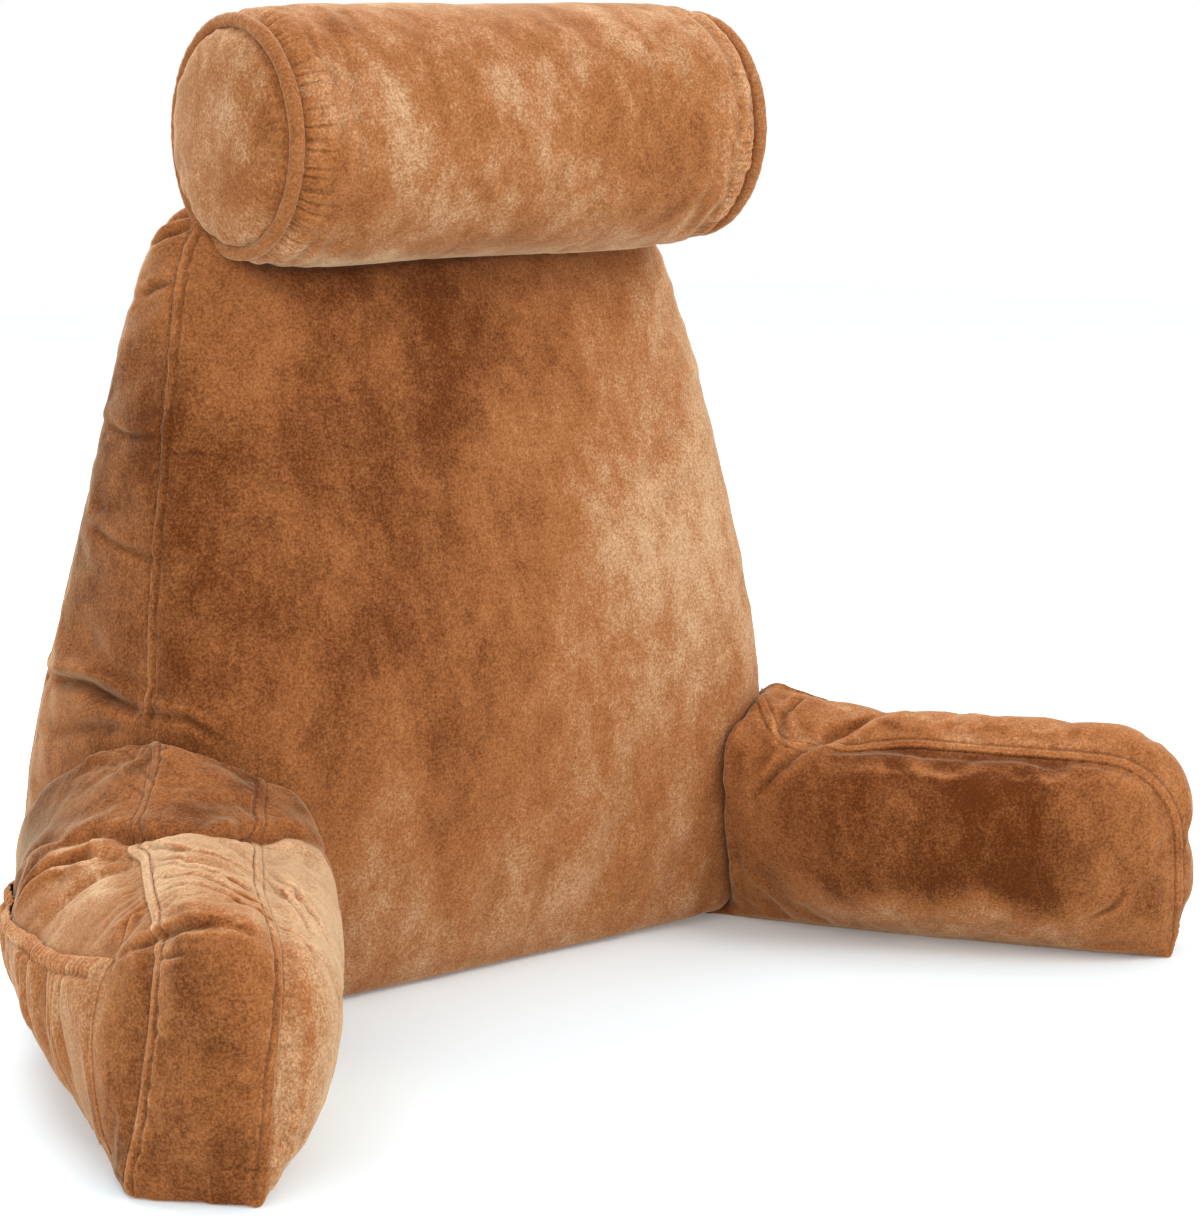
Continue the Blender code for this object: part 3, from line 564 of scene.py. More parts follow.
def blow_up(piece, lines, cap):
    """Simulates slack cloth held at its seams and blown up from inside. Keeps its ripples, up to the cap."""
    rest, normals = points_of(piece), normals_of(piece)
    weight = np.zeros(len(rest))
    for line in lines:
        found, across, _ = near(line, rest, SEWN_REACH)
        weight[found] = np.maximum(weight[found], 1 - ease(0.004, 0.010, np.abs(across)))
    weight[rest[:, 2] < FLOOR_HOLD] = 1.0
    sewn = piece.vertex_groups.new(name="sewn")
    for index in np.nonzero(weight > 0)[0]:
        sewn.add([int(index)], float(weight[index]), "REPLACE")
    modifier = piece.modifiers.new("cloth", "CLOTH")
    for name, value in CLOTH.items():
        setattr(modifier.settings, name, value)
    modifier.settings.vertex_group_mass = sewn.name
    modifier.settings.effector_weights.gravity = 0
    modifier.point_cache.frame_start = 1
    modifier.point_cache.frame_end = CLOTH_FRAMES
    for step in range(1, CLOTH_FRAMES + 1):
        bpy.context.scene.frame_set(step)
    apply_modifier(piece, modifier)
    bpy.context.scene.frame_set(1)
    piece.vertex_groups.clear()
    moved = points_of(piece) - rest
    if len(moved) != len(rest) or not np.isfinite(moved).all():
        set_points(piece, rest)
        return
    lift = (moved * normals).sum(axis=1)
    ripple = np.clip(lift - smoothed(piece, lift, SWELLING_ROUNDS), -cap, cap)
    slide = moved - lift[:, None] * normals
    length = np.maximum(np.linalg.norm(slide, axis=1), 1e-9)
    slide *= (np.minimum(length, cap * 0.5) / length)[:, None]
    set_points(piece, rest + normals * ripple[:, None] + slide)


def finer(piece, lines, reach):
    """Splits the faces near the lines into four."""
    points = points_of(piece)
    close = np.zeros(len(points), bool)
    for line in lines:
        close[near(line, points, reach)[0]] = True
    make_active(piece)
    bpy.ops.object.mode_set(mode="EDIT")
    bpy.ops.mesh.select_all(action="DESELECT")
    net = bmesh.from_edit_mesh(piece.data)
    net.verts.ensure_lookup_table()
    for face in net.faces:
        if all(close[corner.index] for corner in face.verts):
            face.select_set(True)
    bmesh.update_edit_mesh(piece.data)
    bpy.ops.mesh.subdivide(number_cuts=1, smoothness=0.0, ngon=False, quadcorner="INNERVERT")
    bpy.ops.object.mode_set(mode="OBJECT")


def subdivide_once(piece):
    modifier = piece.modifiers.new("finer cloth", "SUBSURF")
    modifier.levels = modifier.render_levels = 1
    apply_modifier(piece, modifier)


def lumps(points, amount, seed):
    """Low, uneven swellings of a torn-foam filling."""
    return amount * (noise_at(points, 1 / 0.075, seed) + 0.35 * noise_at(points, 1 / 0.028, seed + 2))


def finish_piece(piece, node, material):
    piece.data.materials.clear()
    piece.data.materials.append(material)
    make_active(piece)
    bpy.ops.object.shade_smooth()
    deselect_all()
    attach(piece, "root")
    if node:
        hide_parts(node)


REFINED_REACH = 0.013
RIPPLE_CAP = 0.0022
LIFT_OFF, BASE_HEIGHT = 0.006, 0.0004
TOUCHING, CLEAR = 0.0003, 0.008
NEIGHBOUR_REACH = 0.02

Cushion = namedtuple("Cushion", "node voxel rounds beside lumps seed lips")
BACKREST = Cushion("backrest", 0.0078, 50, ("arm_left", "arm_right", "neck_roll"), 0.0012, 3, False)
ARMS = {
    LEFT: Cushion("arm_left", 0.0052, 25, ("backrest",), 0.0009, 7, True),
    RIGHT: Cushion("arm_right", 0.0052, 25, ("backrest",), 0.0009, 9, True),
}


def seam_lines_on(piece, seams):
    skin = skin_of(piece)
    return [line_on(skin, seam.path, seam.towards) for seam in seams]


def filled_piece(cushion, seams, folds):
    """A filled piece from its solid: even net, ripples blown into it, its subdivision, seams and folds."""
    piece = copy_of_node(cushion.node)
    even_net(piece, cushion.voxel, cushion.rounds)
    if cushion.lips:
        soften_lips(piece, room_beside(points_of(piece), cushion.beside))
    blow_up(piece, seam_lines_on(piece, seams), RIPPLE_CAP)
    subdivide_once(piece)
    seam_lines = seam_lines_on(piece, seams)
    skin = skin_of(piece)
    fold_lines = [line_on(skin, fold.path) for fold in folds]
    finer(piece, seam_lines + fold_lines, REFINED_REACH)
    points, normals = points_of(piece), normals_of(piece)
    push = lumps(points, cushion.lumps, cushion.seed)
    for line, seam in zip(seam_lines, seams):
        seam_push(line, points, push, seam.style, cushion.seed)
    for line, fold in zip(fold_lines, folds):
        fold_push(line, fold, points, push)
    push *= ease(0.0, LIFT_OFF, points[:, 2]) * ease(TOUCHING, CLEAR, room_beside(points, cushion.beside))
    points += normals * push[:, None]
    points[:, 2] = np.maximum(points[:, 2], BASE_HEIGHT)
    set_points(piece, points)
    return piece, seam_lines


def room_beside(points, nodes):
    """How far each point is from the solids of its neighbours."""
    room = np.full(len(points), 1.0)
    for node in nodes:
        solid = points_of(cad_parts[node])
        low, high = solid.min(axis=0) - NEIGHBOUR_REACH, solid.max(axis=0) + NEIGHBOUR_REACH
        skin = skin_of(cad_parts[node])
        for index in np.nonzero(((points > low) & (points < high)).all(axis=1))[0]:
            found = skin.find_nearest(Vector(points[index]), NEIGHBOUR_REACH)
            if found[0] is not None:
                room[index] = min(room[index], found[3])
    return room


CREASE_CURVATURE = 420.0


def add_marks(piece, nap_and_shade):
    """Two numbers at each point: how light or dark the pile is painted (below 0 darker, above 0 lighter),
    from which way the pile was brushed and, on some pieces, from painted shade and painted light; and how
    deep the point sits in a crease (above 0) or how far out on a ridge (below 0), which the velvet paints as
    shade in creases and as a highlight on ridges."""
    ends, points, normals = edge_ends(piece), points_of(piece), normals_of(piece)
    size = len(points)
    spans = np.linalg.norm(points[ends[0]] - points[ends[1]], axis=1)
    count = np.maximum(np.bincount(ends[0], minlength=size) + np.bincount(ends[1], minlength=size), 1)
    total = np.bincount(ends[0], spans, size) + np.bincount(ends[1], spans, size)
    means = rows_of(*[mean_of_neighbours(ends, points[:, axis]) for axis in range(3)])
    curvature = 4 * ((means - points) * normals).sum(axis=1) / np.maximum(total / count, 1e-5) ** 2
    crease = np.clip(smoothed(piece, np.clip(curvature / CREASE_CURVATURE, -2, 2), 2), -1, 1)
    for name, values in (("nap_and_shade", nap_and_shade), ("crease", crease)):
        layer = piece.data.attributes.new(name, "FLOAT", "POINT")
        layer.data.foreach_set("value", np.asarray(values, np.float32))


Stroke = namedtuple("Stroke", "x y z reach amount")


def strokes_at(points, strokes):
    total = np.zeros(len(points))
    for stroke in strokes:
        apart = np.linalg.norm(points - np.array((stroke.x, stroke.y, stroke.z)), axis=1)
        total += stroke.amount * np.exp(-((apart / stroke.reach) ** 2))
    return total


# ---------------------------------------------------------------- velvet
def linear(red, green, blue):
    """A screen colour, 0 to 255, as the shader's colour."""
    shares = [value / 255 for value in (red, green, blue)]
    return tuple(s / 12.92 if s <= 0.04045 else ((s + 0.055) / 1.055) ** 2.4 for s in shares) + (1.0,)


DARK, MIDDLE, LIGHT = linear(94, 46, 14), linear(157, 98, 55), linear(197, 158, 120)


def node_tools(tree):
    def node(kind, **settings):
        made = tree.nodes.new(kind)
        for key, value in settings.items():
            setattr(made, key, value)
        return made

    return node, tree.links.new


def give(node, values):
    for name, value in values.items():
        node.inputs[name].default_value = value


def new_material(name):
    """(material, its shader, and the tools that make and link its nodes)."""
    material = bpy.data.materials.new(name)
    material.use_nodes = True
    node, link = node_tools(material.node_tree)
    return material, material.node_tree.nodes["Principled BSDF"], node, link


# Clouds of noise, from patches of pile that lie different ways to the grain of the pile.
Cloud = namedtuple("Cloud", "scale detail roughness distortion stretch spread")
BROAD = Cloud(6.0, 3.0, 0.50, 0.0, 0.75, 0.20)
STROKES = Cloud(17.0, 6.0, 0.56, 0.15, 0.50, 0.20)
TUFTS = Cloud(55.0, 5.0, 0.58, 0.0, 0.70, 0.20)
MOTTLING = Cloud(190.0, 4.0, 0.70, 0.0, 1.0, 0.22)
PILE = Cloud(560.0, 3.0, 0.75, 0.0, 1.0, 0.24)
PATCH_WEIGHTS = (0.20, 0.32, 0.20)
MOTTLING_WEIGHT, GRAIN_WEIGHT = 0.14, 0.38
DARK_RANGE, LIGHT_RANGE = (-1.50, 0.15), (-0.15, 1.35)
# CREASE_SHADE is painted shade: the colour is painted up to this share darker in creases, and lighter on
# ridges.
GRAIN_SHADE, CREASE_SHADE = 0.18, 0.36
PILE_HEIGHT, MOTTLING_HEIGHT = 0.8, 0.14


def velvet_group():
    """Crushed velvet: patches of pile that lie different ways, finer mottling, and the grain of the pile,
    with painted shade in creases, a painted highlight on ridges, and the painted shade and light that some
    pieces add to their pile.
    """
    group = bpy.data.node_groups.new("velvet nap", "ShaderNodeTree")
    sockets = group.interface
    sockets.new_socket("Vector", in_out="INPUT", socket_type="NodeSocketVector")
    for name in ("Dark", "Middle", "Light"):
        sockets.new_socket(name, in_out="INPUT", socket_type="NodeSocketColor")
    for name, value in (("Brushed And Shaded", 0.0), ("Crease", 0.0), ("Patches", 1.0)):
        sockets.new_socket(name, in_out="INPUT", socket_type="NodeSocketFloat").default_value = value
    sockets.new_socket("Colour", in_out="OUTPUT", socket_type="NodeSocketColor")
    sockets.new_socket("Height", in_out="OUTPUT", socket_type="NodeSocketFloat")
    node, link = node_tools(group)
    given, result = node("NodeGroupInput"), node("NodeGroupOutput")

    def noise_of(cloud):
        place = node("ShaderNodeMapping")
        give(place, {"Scale": (1.0, 1.0, cloud.stretch)})
        link(given.outputs["Vector"], place.inputs["Vector"])
        texture = node("ShaderNodeTexNoise")
        give(texture, {"Scale": cloud.scale, "Detail": cloud.detail})
        give(texture, {"Roughness": cloud.roughness, "Distortion": cloud.distortion})
        link(place.outputs["Vector"], texture.inputs["Vector"])
        return texture.outputs["Fac"]

    def ramp(value, low, high, start=0.0, end=1.0):
        made = node("ShaderNodeMapRange", interpolation_type="SMOOTHSTEP")
        give(made, {"From Min": low, "From Max": high, "To Min": start, "To Max": end})
        link(value, made.inputs["Value"])
        return made.outputs["Result"]

    def centred(value, cloud):
        """From a noise's 0 to 1 to about -1 to 1, smooth at both ends."""
        return ramp(value, 0.5 - cloud.spread, 0.5 + cloud.spread, -1.0, 1.0)

    def combine(operation, first, second):
        made = node("ShaderNodeMath", operation=operation)
        for socket, value in zip(made.inputs, (first, second)):
            if isinstance(value, (int, float)):
                socket.default_value = value
            else:
                link(value, socket)
        return made.outputs[0]

    def weighted(parts):
        total = 0.0
        for value, weight in parts:
            total = combine("ADD", total, combine("MULTIPLY", value, weight))
        return total

    def blend(share, low_colour, high_colour):
        made = node("ShaderNodeMix", data_type="RGBA")
        link(share, made.inputs["Factor"])
        link(low_colour, made.inputs[6])
        link(high_colour, made.inputs[7])
        return made.outputs[2]

    layers = [centred(noise_of(cloud), cloud) for cloud in (BROAD, STROKES, TUFTS)]
    mottling = centred(noise_of(MOTTLING), MOTTLING)
    pile = noise_of(PILE)
    grain = centred(pile, PILE)
    lying_and_shade = combine("MULTIPLY", weighted(zip(layers, PATCH_WEIGHTS)), given.outputs["Patches"])
    lying_and_shade = combine("ADD", lying_and_shade, given.outputs["Brushed And Shaded"])
    lying_and_shade = combine("ADD", lying_and_shade, combine("MULTIPLY", mottling, MOTTLING_WEIGHT))
    lying_and_shade = combine("ADD", lying_and_shade, combine("MULTIPLY", grain, GRAIN_WEIGHT))
    colour = blend(ramp(lying_and_shade, *DARK_RANGE), given.outputs["Dark"], given.outputs["Middle"])
    colour = blend(ramp(lying_and_shade, *LIGHT_RANGE), colour, given.outputs["Light"])
    fine = combine("ADD", combine("MULTIPLY", grain, GRAIN_SHADE), 1.0)
    # Painted shade and highlight: the colour is darkened in creases and lightened on ridges, by the Crease
    # input.
    shade = combine("SUBTRACT", 1.0, combine("MULTIPLY", given.outputs["Crease"], CREASE_SHADE))
    scaled = node("ShaderNodeVectorMath", operation="SCALE")
    link(colour, scaled.inputs[0])
    link(combine("MULTIPLY", fine, shade), scaled.inputs["Scale"])
    link(scaled.outputs["Vector"], result.inputs["Colour"])
    link(weighted(((pile, PILE_HEIGHT), (mottling, MOTTLING_HEIGHT))), result.inputs["Height"])
    return group


VELVET_SURFACE = {
    "Roughness": 0.9,
    "Specular IOR Level": 0.10,
    "Sheen Weight": 0.60,
    "Sheen Roughness": 0.32,
    "Sheen Tint": (1.0, 0.80, 0.52, 1.0),
}


def velvet(name, group, turn, brushed=0.0, patches=1.0):
    """The velvet of one piece: its pattern is shifted and turned, and its colour is painted lighter or darker
    by the pile's direction, with painted shade and painted light on some pieces and painted shade in creases.
    """
    material, shader, node, link = new_material(name)
    where, place = node("ShaderNodeTexCoord"), node("ShaderNodeMapping")
    give(place, {"Location": (turn, turn * 0.6, turn * 1.7), "Rotation": (0.0, 0.12 * turn, turn)})
    link(where.outputs["Object"], place.inputs["Vector"])
    nap_and_shade = node("ShaderNodeGroup", node_tree=group)
    link(place.outputs["Vector"], nap_and_shade.inputs["Vector"])
    give(nap_and_shade, {"Dark": DARK, "Middle": MIDDLE, "Light": LIGHT, "Patches": patches})
    painted = node("ShaderNodeAttribute", attribute_name="nap_and_shade")
    shifted = node("ShaderNodeMath", operation="ADD")
    link(painted.outputs["Fac"], shifted.inputs[0])
    shifted.inputs[1].default_value = brushed
    link(shifted.outputs[0], nap_and_shade.inputs["Brushed And Shaded"])
    creased = node("ShaderNodeAttribute", attribute_name="crease")
    link(creased.outputs["Fac"], nap_and_shade.inputs["Crease"])
    link(nap_and_shade.outputs["Colour"], shader.inputs["Base Color"])
    bump = node("ShaderNodeBump")
    give(bump, {"Strength": 0.55, "Distance": 0.0009})
    link(nap_and_shade.outputs["Height"], bump.inputs["Height"])
    link(bump.outputs["Normal"], shader.inputs["Normal"])
    give(shader, VELVET_SURFACE)
    return material


def thread_material():
    material, shader, node, link = new_material("stitching thread")
    where = node("ShaderNodeTexCoord")
    twist = node("ShaderNodeTexWave", wave_type="BANDS", bands_direction="DIAGONAL")
    give(twist, {"Scale": 900.0, "Distortion": 1.5})
    link(where.outputs["Object"], twist.inputs["Vector"])
    colours = node("ShaderNodeMix", data_type="RGBA")
    colours.inputs[6].default_value = linear(104, 60, 30)
    colours.inputs[7].default_value = linear(150, 100, 62)
    link(twist.outputs["Fac"], colours.inputs["Factor"])
    link(colours.outputs[2], shader.inputs["Base Color"])
    bump = node("ShaderNodeBump")
    give(bump, {"Strength": 0.5, "Distance": 0.0002})
    link(twist.outputs["Fac"], bump.inputs["Height"])
    link(bump.outputs["Normal"], shader.inputs["Normal"])
    give(shader, {"Roughness": 0.6})
    return material


# ---------------------------------------------------------------- pieces
BACKREST_STROKES = (
    Stroke(0.00, -0.13, 0.50, 0.14, -0.75),
    Stroke(-0.12, -0.12, 0.42, 0.12, -0.35),
    Stroke(0.13, -0.12, 0.40, 0.13, 0.36),
    Stroke(0.20, -0.10, 0.28, 0.13, 0.44),
    Stroke(0.00, -0.14, 0.30, 0.12, -0.20),
    Stroke(-0.15, -0.13, 0.20, 0.14, -0.25),
    Stroke(0.02, -0.13, 0.06, 0.12, 0.05),
    # Painted shade: these two strokes paint the left side panel darker, as it faces away from the key light.
    Stroke(-0.24, 0.00, 0.30, 0.16, -0.90),
    Stroke(-0.26, 0.02, 0.40, 0.08, -0.30),
    Stroke(-0.26, 0.08, 0.20, 0.08, 0.30),
    Stroke(0.24, -0.06, 0.12, 0.12, -0.35),
)


def make_backrest(material):
    front = Seam(backrest_seam(FRONT_SEAM_DEPTH), 1, BACKREST_FRONT_STYLE)
    rear = Seam(backrest_seam(REAR_SEAM_DEPTH), 1, BACKREST_REAR_STYLE)
    piece, lines = filled_piece(BACKREST, (front, rear), BACKREST_FOLDS)
    add_marks(piece, strokes_at(points_of(piece), BACKREST_STROKES))
    finish_piece(piece, "backrest", material)
    return piece, lines


# Where the main crease runs over the left arm, in the arm's frame. The pile is dark behind it, pale past it.
CREASE_OUT = (-0.060, -0.052, -0.028, 0.001, 0.023, 0.047, 0.075)
CREASE_ALONG = (0.068, 0.074, 0.0925, 0.131, 0.113, 0.082, 0.049)

# How light or dark each panel is painted, below 0 darker and above 0 paler: the pile's direction, with
# painted shade on the band where it faces forward and, on the right arm's inner panel, painted shade above a
# foot painted paler as light bounced from the floor.
LEFT_NAP_AND_SHADE = {
    "band root": -0.80,
    "band": 0.72,
    "band nose": 0.30,
    "band front shade": -0.45,
    "inner root": -0.45,
    "inner": 0.95,
    "inner nose": 0.60,
    "outer root": -0.75,
    "outer": -0.12,
    "outer nose": -0.45,
}
RIGHT_NAP_AND_SHADE = {
    "band": -0.15,
    "band front shade": -0.28,
    "inner foot bounce light": 0.48,
    "inner": -1.12,
    "inner root": -0.30,
    "inner nose": -0.35,
}
# Painted light: below about this height the right arm's inner panel is painted paler, as light bounced from
# the floor.
FOOT_HEIGHT = 0.044


SEAM_SIDE_REACH = 0.030


def beyond(line, points, otherwise):
    """1 on the seam's side away from its stitches and 0 on the other; the given share far from the seam."""
    found, across, _ = near(line, points, SEAM_SIDE_REACH)
    share = otherwise.copy()
    share[found] = mix(ease(0.001, -0.001, across), otherwise[found], ease(0.012, 0.028, np.abs(across)))
    return share


def arm_nap_and_shade(side, points, normals, lines):
    """How light or dark an arm is painted: by panel and by how far along the arm, from the pile's direction,
    with painted shade where the cloth faces forward and, on the right arm's inner panel, painted shade above
    a foot painted paler as light bounced from the floor.
    """
    along, out, height = arm_coordinates(side, points)
    forward, outward, _ = [np.array(axis) for axis in arm_axes(side)]
    # Painted shade: where the cloth faces forward the band is painted darker.
    front, facing_out = ease(0.35, 0.80, normals @ forward), normals @ outward
    inner = beyond(lines[0], points, ease(0.35, 0.75, -facing_out))
    nose = ease(0.25, 0.30, along)
    if side == RIGHT:
        panel_tones = RIGHT_NAP_AND_SHADE
        # Painted light and shade: the inner panel is painted paler below this wavy edge, as light bounced
        # from the floor, and darker above it.
        foot_edge = FOOT_HEIGHT + 0.006 * np.sin(along * 40) + 0.004 * np.sin(along * 95 + 1)
        panel = mix(panel_tones["inner foot bounce light"], panel_tones["inner"], ease(-0.020, 0.016, height - foot_edge))
        panel = mix(panel, panel_tones["inner root"], ease(0.11, 0.03, along))
        panel = mix(panel, panel_tones["inner nose"], nose)
        return mix(mix(panel_tones["band"], panel_tones["band front shade"], front), panel, inner)
    panel_tones = LEFT_NAP_AND_SHADE
    outer = beyond(lines[1], points, ease(0.35, 0.75, facing_out))
    past = ease(-0.001, 0.003, along - np.interp(out, CREASE_OUT, CREASE_ALONG))
    band = mix(panel_tones["band root"], panel_tones["band"], past)
    band = mix(band, panel_tones["band nose"], ease(0.235, 0.305, along))
    band = mix(band, panel_tones["band front shade"], front)
    inner_panel = mix(panel_tones["inner"], panel_tones["inner nose"], ease(0.20, 0.32, along))
    inner_panel = mix(panel_tones["inner root"], inner_panel, past)
    outer_panel = mix(mix(panel_tones["outer root"], panel_tones["outer"], past), panel_tones["outer nose"], nose)
    return mix(mix(band, inner_panel, inner), outer_panel, outer)


def left_seam_stray(along):
    return float(np.interp(along, LEFT_SEAM_ALONG, LEFT_SEAM_STRAY))


def make_arm(side, material):
    inner, alongs = arm_seam(side, INNER_EDGE)
    if side == RIGHT:
        joined = [place for place, along in zip(inner, alongs) if along > RIGHT_SEAM_JOIN]
        inner = [Vector(place) for place in RIGHT_SEAM_START] + joined
    outer, _ = arm_seam(side, OUTER_EDGE, left_seam_stray if side == LEFT else None)
    seams = (Seam(inner, side, ARM_STYLES[side]), Seam(outer, -side, ARM_STYLES[side]))
    piece, lines = filled_piece(ARMS[side], seams, ARM_FOLDS[side])
    add_marks(piece, arm_nap_and_shade(side, points_of(piece), normals_of(piece), lines))
    finish_piece(piece, ARMS[side].node, material)
    return piece, lines


RING_POINTS = 72


def ring_path(along):
    """A ring of places round the roll, at a place along it."""
    matrix = roll_matrix()
    angles = np.linspace(0, 2 * math.pi, RING_POINTS, endpoint=False)
    spokes = [(ROLL_RADIUS * math.cos(angle), ROLL_RADIUS * math.sin(angle)) for angle in angles]
    return [matrix @ Vector((along, back, up)) for back, up in spokes]


ROLL_VOXEL, ROLL_ROUNDS, ROLL_RIPPLE_CAP = 0.0046, 26, 0.0012
ROLL_LUMPS, ROLL_SEED = 0.0014, 5
RIM_INSET = 0.0065
RIM_SWELL, RIM_SWELL_PLACE, RIM_SWELL_WIDTH = 0.0042, 0.013, 0.010

# Pleats run off the piping over the barrel and the cap, deepest on the roll's low front.
ROLL_PLEATS, PLEAT_NET_REACH = 0.1760, 0.014
PLEAT_DEPTH, PLEAT_LENGTH, PLEAT_SHARPNESS = 0.0042, 0.015, 2.6
PLEAT_SCALES, RIDGE_SCALES, SLACK_SCALES = (12, 14), (4.5, 9), (3, 0)
ROLL_STROKES = (
    Stroke(0.13, -0.17, 0.62, 0.070, -0.45),
    Stroke(-0.06, -0.17, 0.63, 0.060, -0.20),
    Stroke(0.00, -0.12, 0.67, 0.140, 0.10),
    Stroke(0.17, -0.14, 0.57, 0.060, -0.30),
    Stroke(0.20, -0.16, 0.60, 0.040, 0.45),
    Stroke(-0.14, -0.15, 0.66, 0.050, -0.30),
)


def pleat_push(side, angle, reach, inward):
    """The pleats at one end of the roll, by angle round it, reach from its axis and way in from its rim."""
    valleys = thin_valleys(noise_round(angle, inward, PLEAT_SCALES, 31 + side), PLEAT_SHARPNESS)
    ridges = noise_round(angle, inward, RIDGE_SCALES, 35 + side)
    slack = 0.45 + 0.70 * noise_round(angle, 0, SLACK_SCALES, 3)
    low_front = 0.4 + 0.6 * ease(0.45, 0.95, 0.5 - 0.5 * np.cos(angle - 0.6))
    barrel = np.exp(-np.maximum(inward - 0.008, 0) / PLEAT_LENGTH) * ease(0.005, 0.010, inward)
    cap = ease(0.035, 0.068, reach) * ease(-0.002, -0.006, inward)
    return PLEAT_DEPTH * low_front * slack * (barrel + 0.6 * cap) * (0.6 * ridges - valleys)


def make_roll(material):
    piece = copy_of_node("neck_roll")
    even_net(piece, ROLL_VOXEL, ROLL_ROUNDS)
    skin = skin_of(piece)
    rings = [(side, ring_path(side * (ROLL_HALF_LENGTH - RIM_INSET))) for side in (LEFT, RIGHT)]
    blow_up(piece, [line_on(skin, ring, side, closed=True) for side, ring in rings], ROLL_RIPPLE_CAP)
    subdivide_once(piece)
    skin = skin_of(piece)
    finer(piece, [line_on(skin, ring_path(side * ROLL_PLEATS)) for side in (LEFT, RIGHT)], PLEAT_NET_REACH)
    points, normals = points_of(piece), normals_of(piece)
    local = (np.array(roll_matrix().inverted()) @ np.c_[points, np.ones(len(points))].T).T[:, :3]
    angle = np.arctan2(local[:, 2], local[:, 1])
    reach = np.hypot(local[:, 1], local[:, 2])
    push = lumps(points, ROLL_LUMPS, ROLL_SEED)
    for side in (LEFT, RIGHT):
        inward = ROLL_HALF_LENGTH - side * local[:, 0]
        push += RIM_SWELL * bump_at(RIM_SWELL_PLACE, RIM_SWELL_WIDTH, inward)
        push += pleat_push(side, angle, reach, inward)
    push *= ease(TOUCHING, CLEAR, room_beside(points, ("backrest",)))
    points += normals * push[:, None]
    set_points(piece, points)
    add_marks(piece, strokes_at(points, ROLL_STROKES))
    finish_piece(piece, "neck_roll", material)


RUCHE_SCALES, CORD_SCALES = (26, 0.5), (5, 0)


def make_piping(side, material):
    """A cord covered in a bias strip, sewn round the rim of the roll's cap."""
    name = "piping_" + SIDE_NAMES[side]
    deselect_all()
    bpy.ops.mesh.primitive_torus_add(
        major_segments=360, minor_segments=18, major_radius=PIPING_RING_RADIUS, minor_radius=PIPING_RADIUS
    )
    piece = bpy.context.object
    piece.name = name + "_cord"
    points = points_of(piece)
    angle = np.arctan2(points[:, 1], points[:, 0])
    centre = rows_of(np.cos(angle), np.sin(angle), 0) * PIPING_RING_RADIUS
    spoke = points - centre
    around = np.arctan2(spoke[:, 2], np.hypot(points[:, 0], points[:, 1]) - PIPING_RING_RADIUS)
    wound = angle + 0.05 * np.sin(around)
    ruche = noise_round(wound, around, RUCHE_SCALES, 41 + side)
    slack = noise_round(angle, 0, CORD_SCALES, 44 + side)
    points = centre + spoke * (1 + 0.10 * ruche + 0.06 * slack)[:, None]
    turned = rows_of(points[:, 2] + side * ROLL_HALF_LENGTH, points[:, 0], points[:, 1])
    matrix = np.array(roll_matrix())
    set_points(piece, turned @ matrix[:3, :3].T + matrix[:3, 3])
    finish_piece(piece, name, material)


def mouth_height(along):
    return np.interp(along, [row.along for row in POCKET_MOUTH], [row.height for row in POCKET_MOUTH])


def pocket_place(share, rise):
    """(along the arm, height) of a place on the pocket, from its shares of the length and the height."""
    along = mix(POCKET_BACK, mix(POCKET_FRONT_FOOT, POCKET_FRONT_TOP, rise), share)
    return along, mix(POCKET_FOOT, mouth_height(along), rise)


GATHER_COUNT, GATHER_DEPTH, GATHER_POWER = 11.0, 0.0086, 0.75
CASING_HEIGHT, CASING_STEP, RUCHE_HEIGHT, RUCHE_COUNT = 0.0032, 0.0012, 0.0006, 50
EDGE_FOLD, EDGE_FOLD_PLACE, EDGE_FOLD_WIDTH = 0.0011, 0.975, 0.012
CLOTH_CLEARANCE, CLOTH_THICKNESS = 0.0010, 0.0013
OUTSIDE = 0.4


def pocket_lift(share, rise, hem_rise):
    """How far the pocket's cloth stands off the arm: gathers hung from the hem, and its elastic casing."""
    run = GATHER_COUNT * share + 0.65 * np.sin(9.0 * share) + 0.30 * np.sin(23.0 * share + 1.0)
    lean = 0.55 * (1 - rise) * np.sin(5.0 * share + 0.4)
    gather = np.abs(np.sin(math.pi * (run + lean))) ** GATHER_POWER
    depth = GATHER_DEPTH * (0.35 + 0.65 * np.sin(8.0 * share + 0.7) ** 2)
    sides = ease(0.0, 0.05, share) * ease(0.0, 0.05, 1 - share)
    reach = 0.36 + 0.30 * np.sin(13.0 * share + 2.0)
    body = depth * gather * ease(reach - 0.40, reach + 0.35, rise)
    hem = ease(hem_rise - 0.015, hem_rise + 0.015, rise)
    ruche = RUCHE_HEIGHT * np.sin(2 * math.pi * RUCHE_COUNT * share + 2.0 * np.sin(31 * share))
    up_hem = np.clip((rise - hem_rise) / (1 - hem_rise), 0.0, 1.0)
    casing = CASING_HEIGHT * np.sin(math.pi * np.clip(up_hem, 0.05, 0.95)) ** 0.7 + CASING_STEP * (1 - up_hem)
    gathered = (1 - hem) * body + hem * (0.20 * depth * gather + ruche + casing)
    edge_fold = EDGE_FOLD * bump_at(EDGE_FOLD_PLACE, EDGE_FOLD_WIDTH, share) * ease(0.02, 0.06, rise)
    return CLOTH_CLEARANCE + sides * gathered + edge_fold


POCKET_COLUMNS, POCKET_ROWS = 260, 64


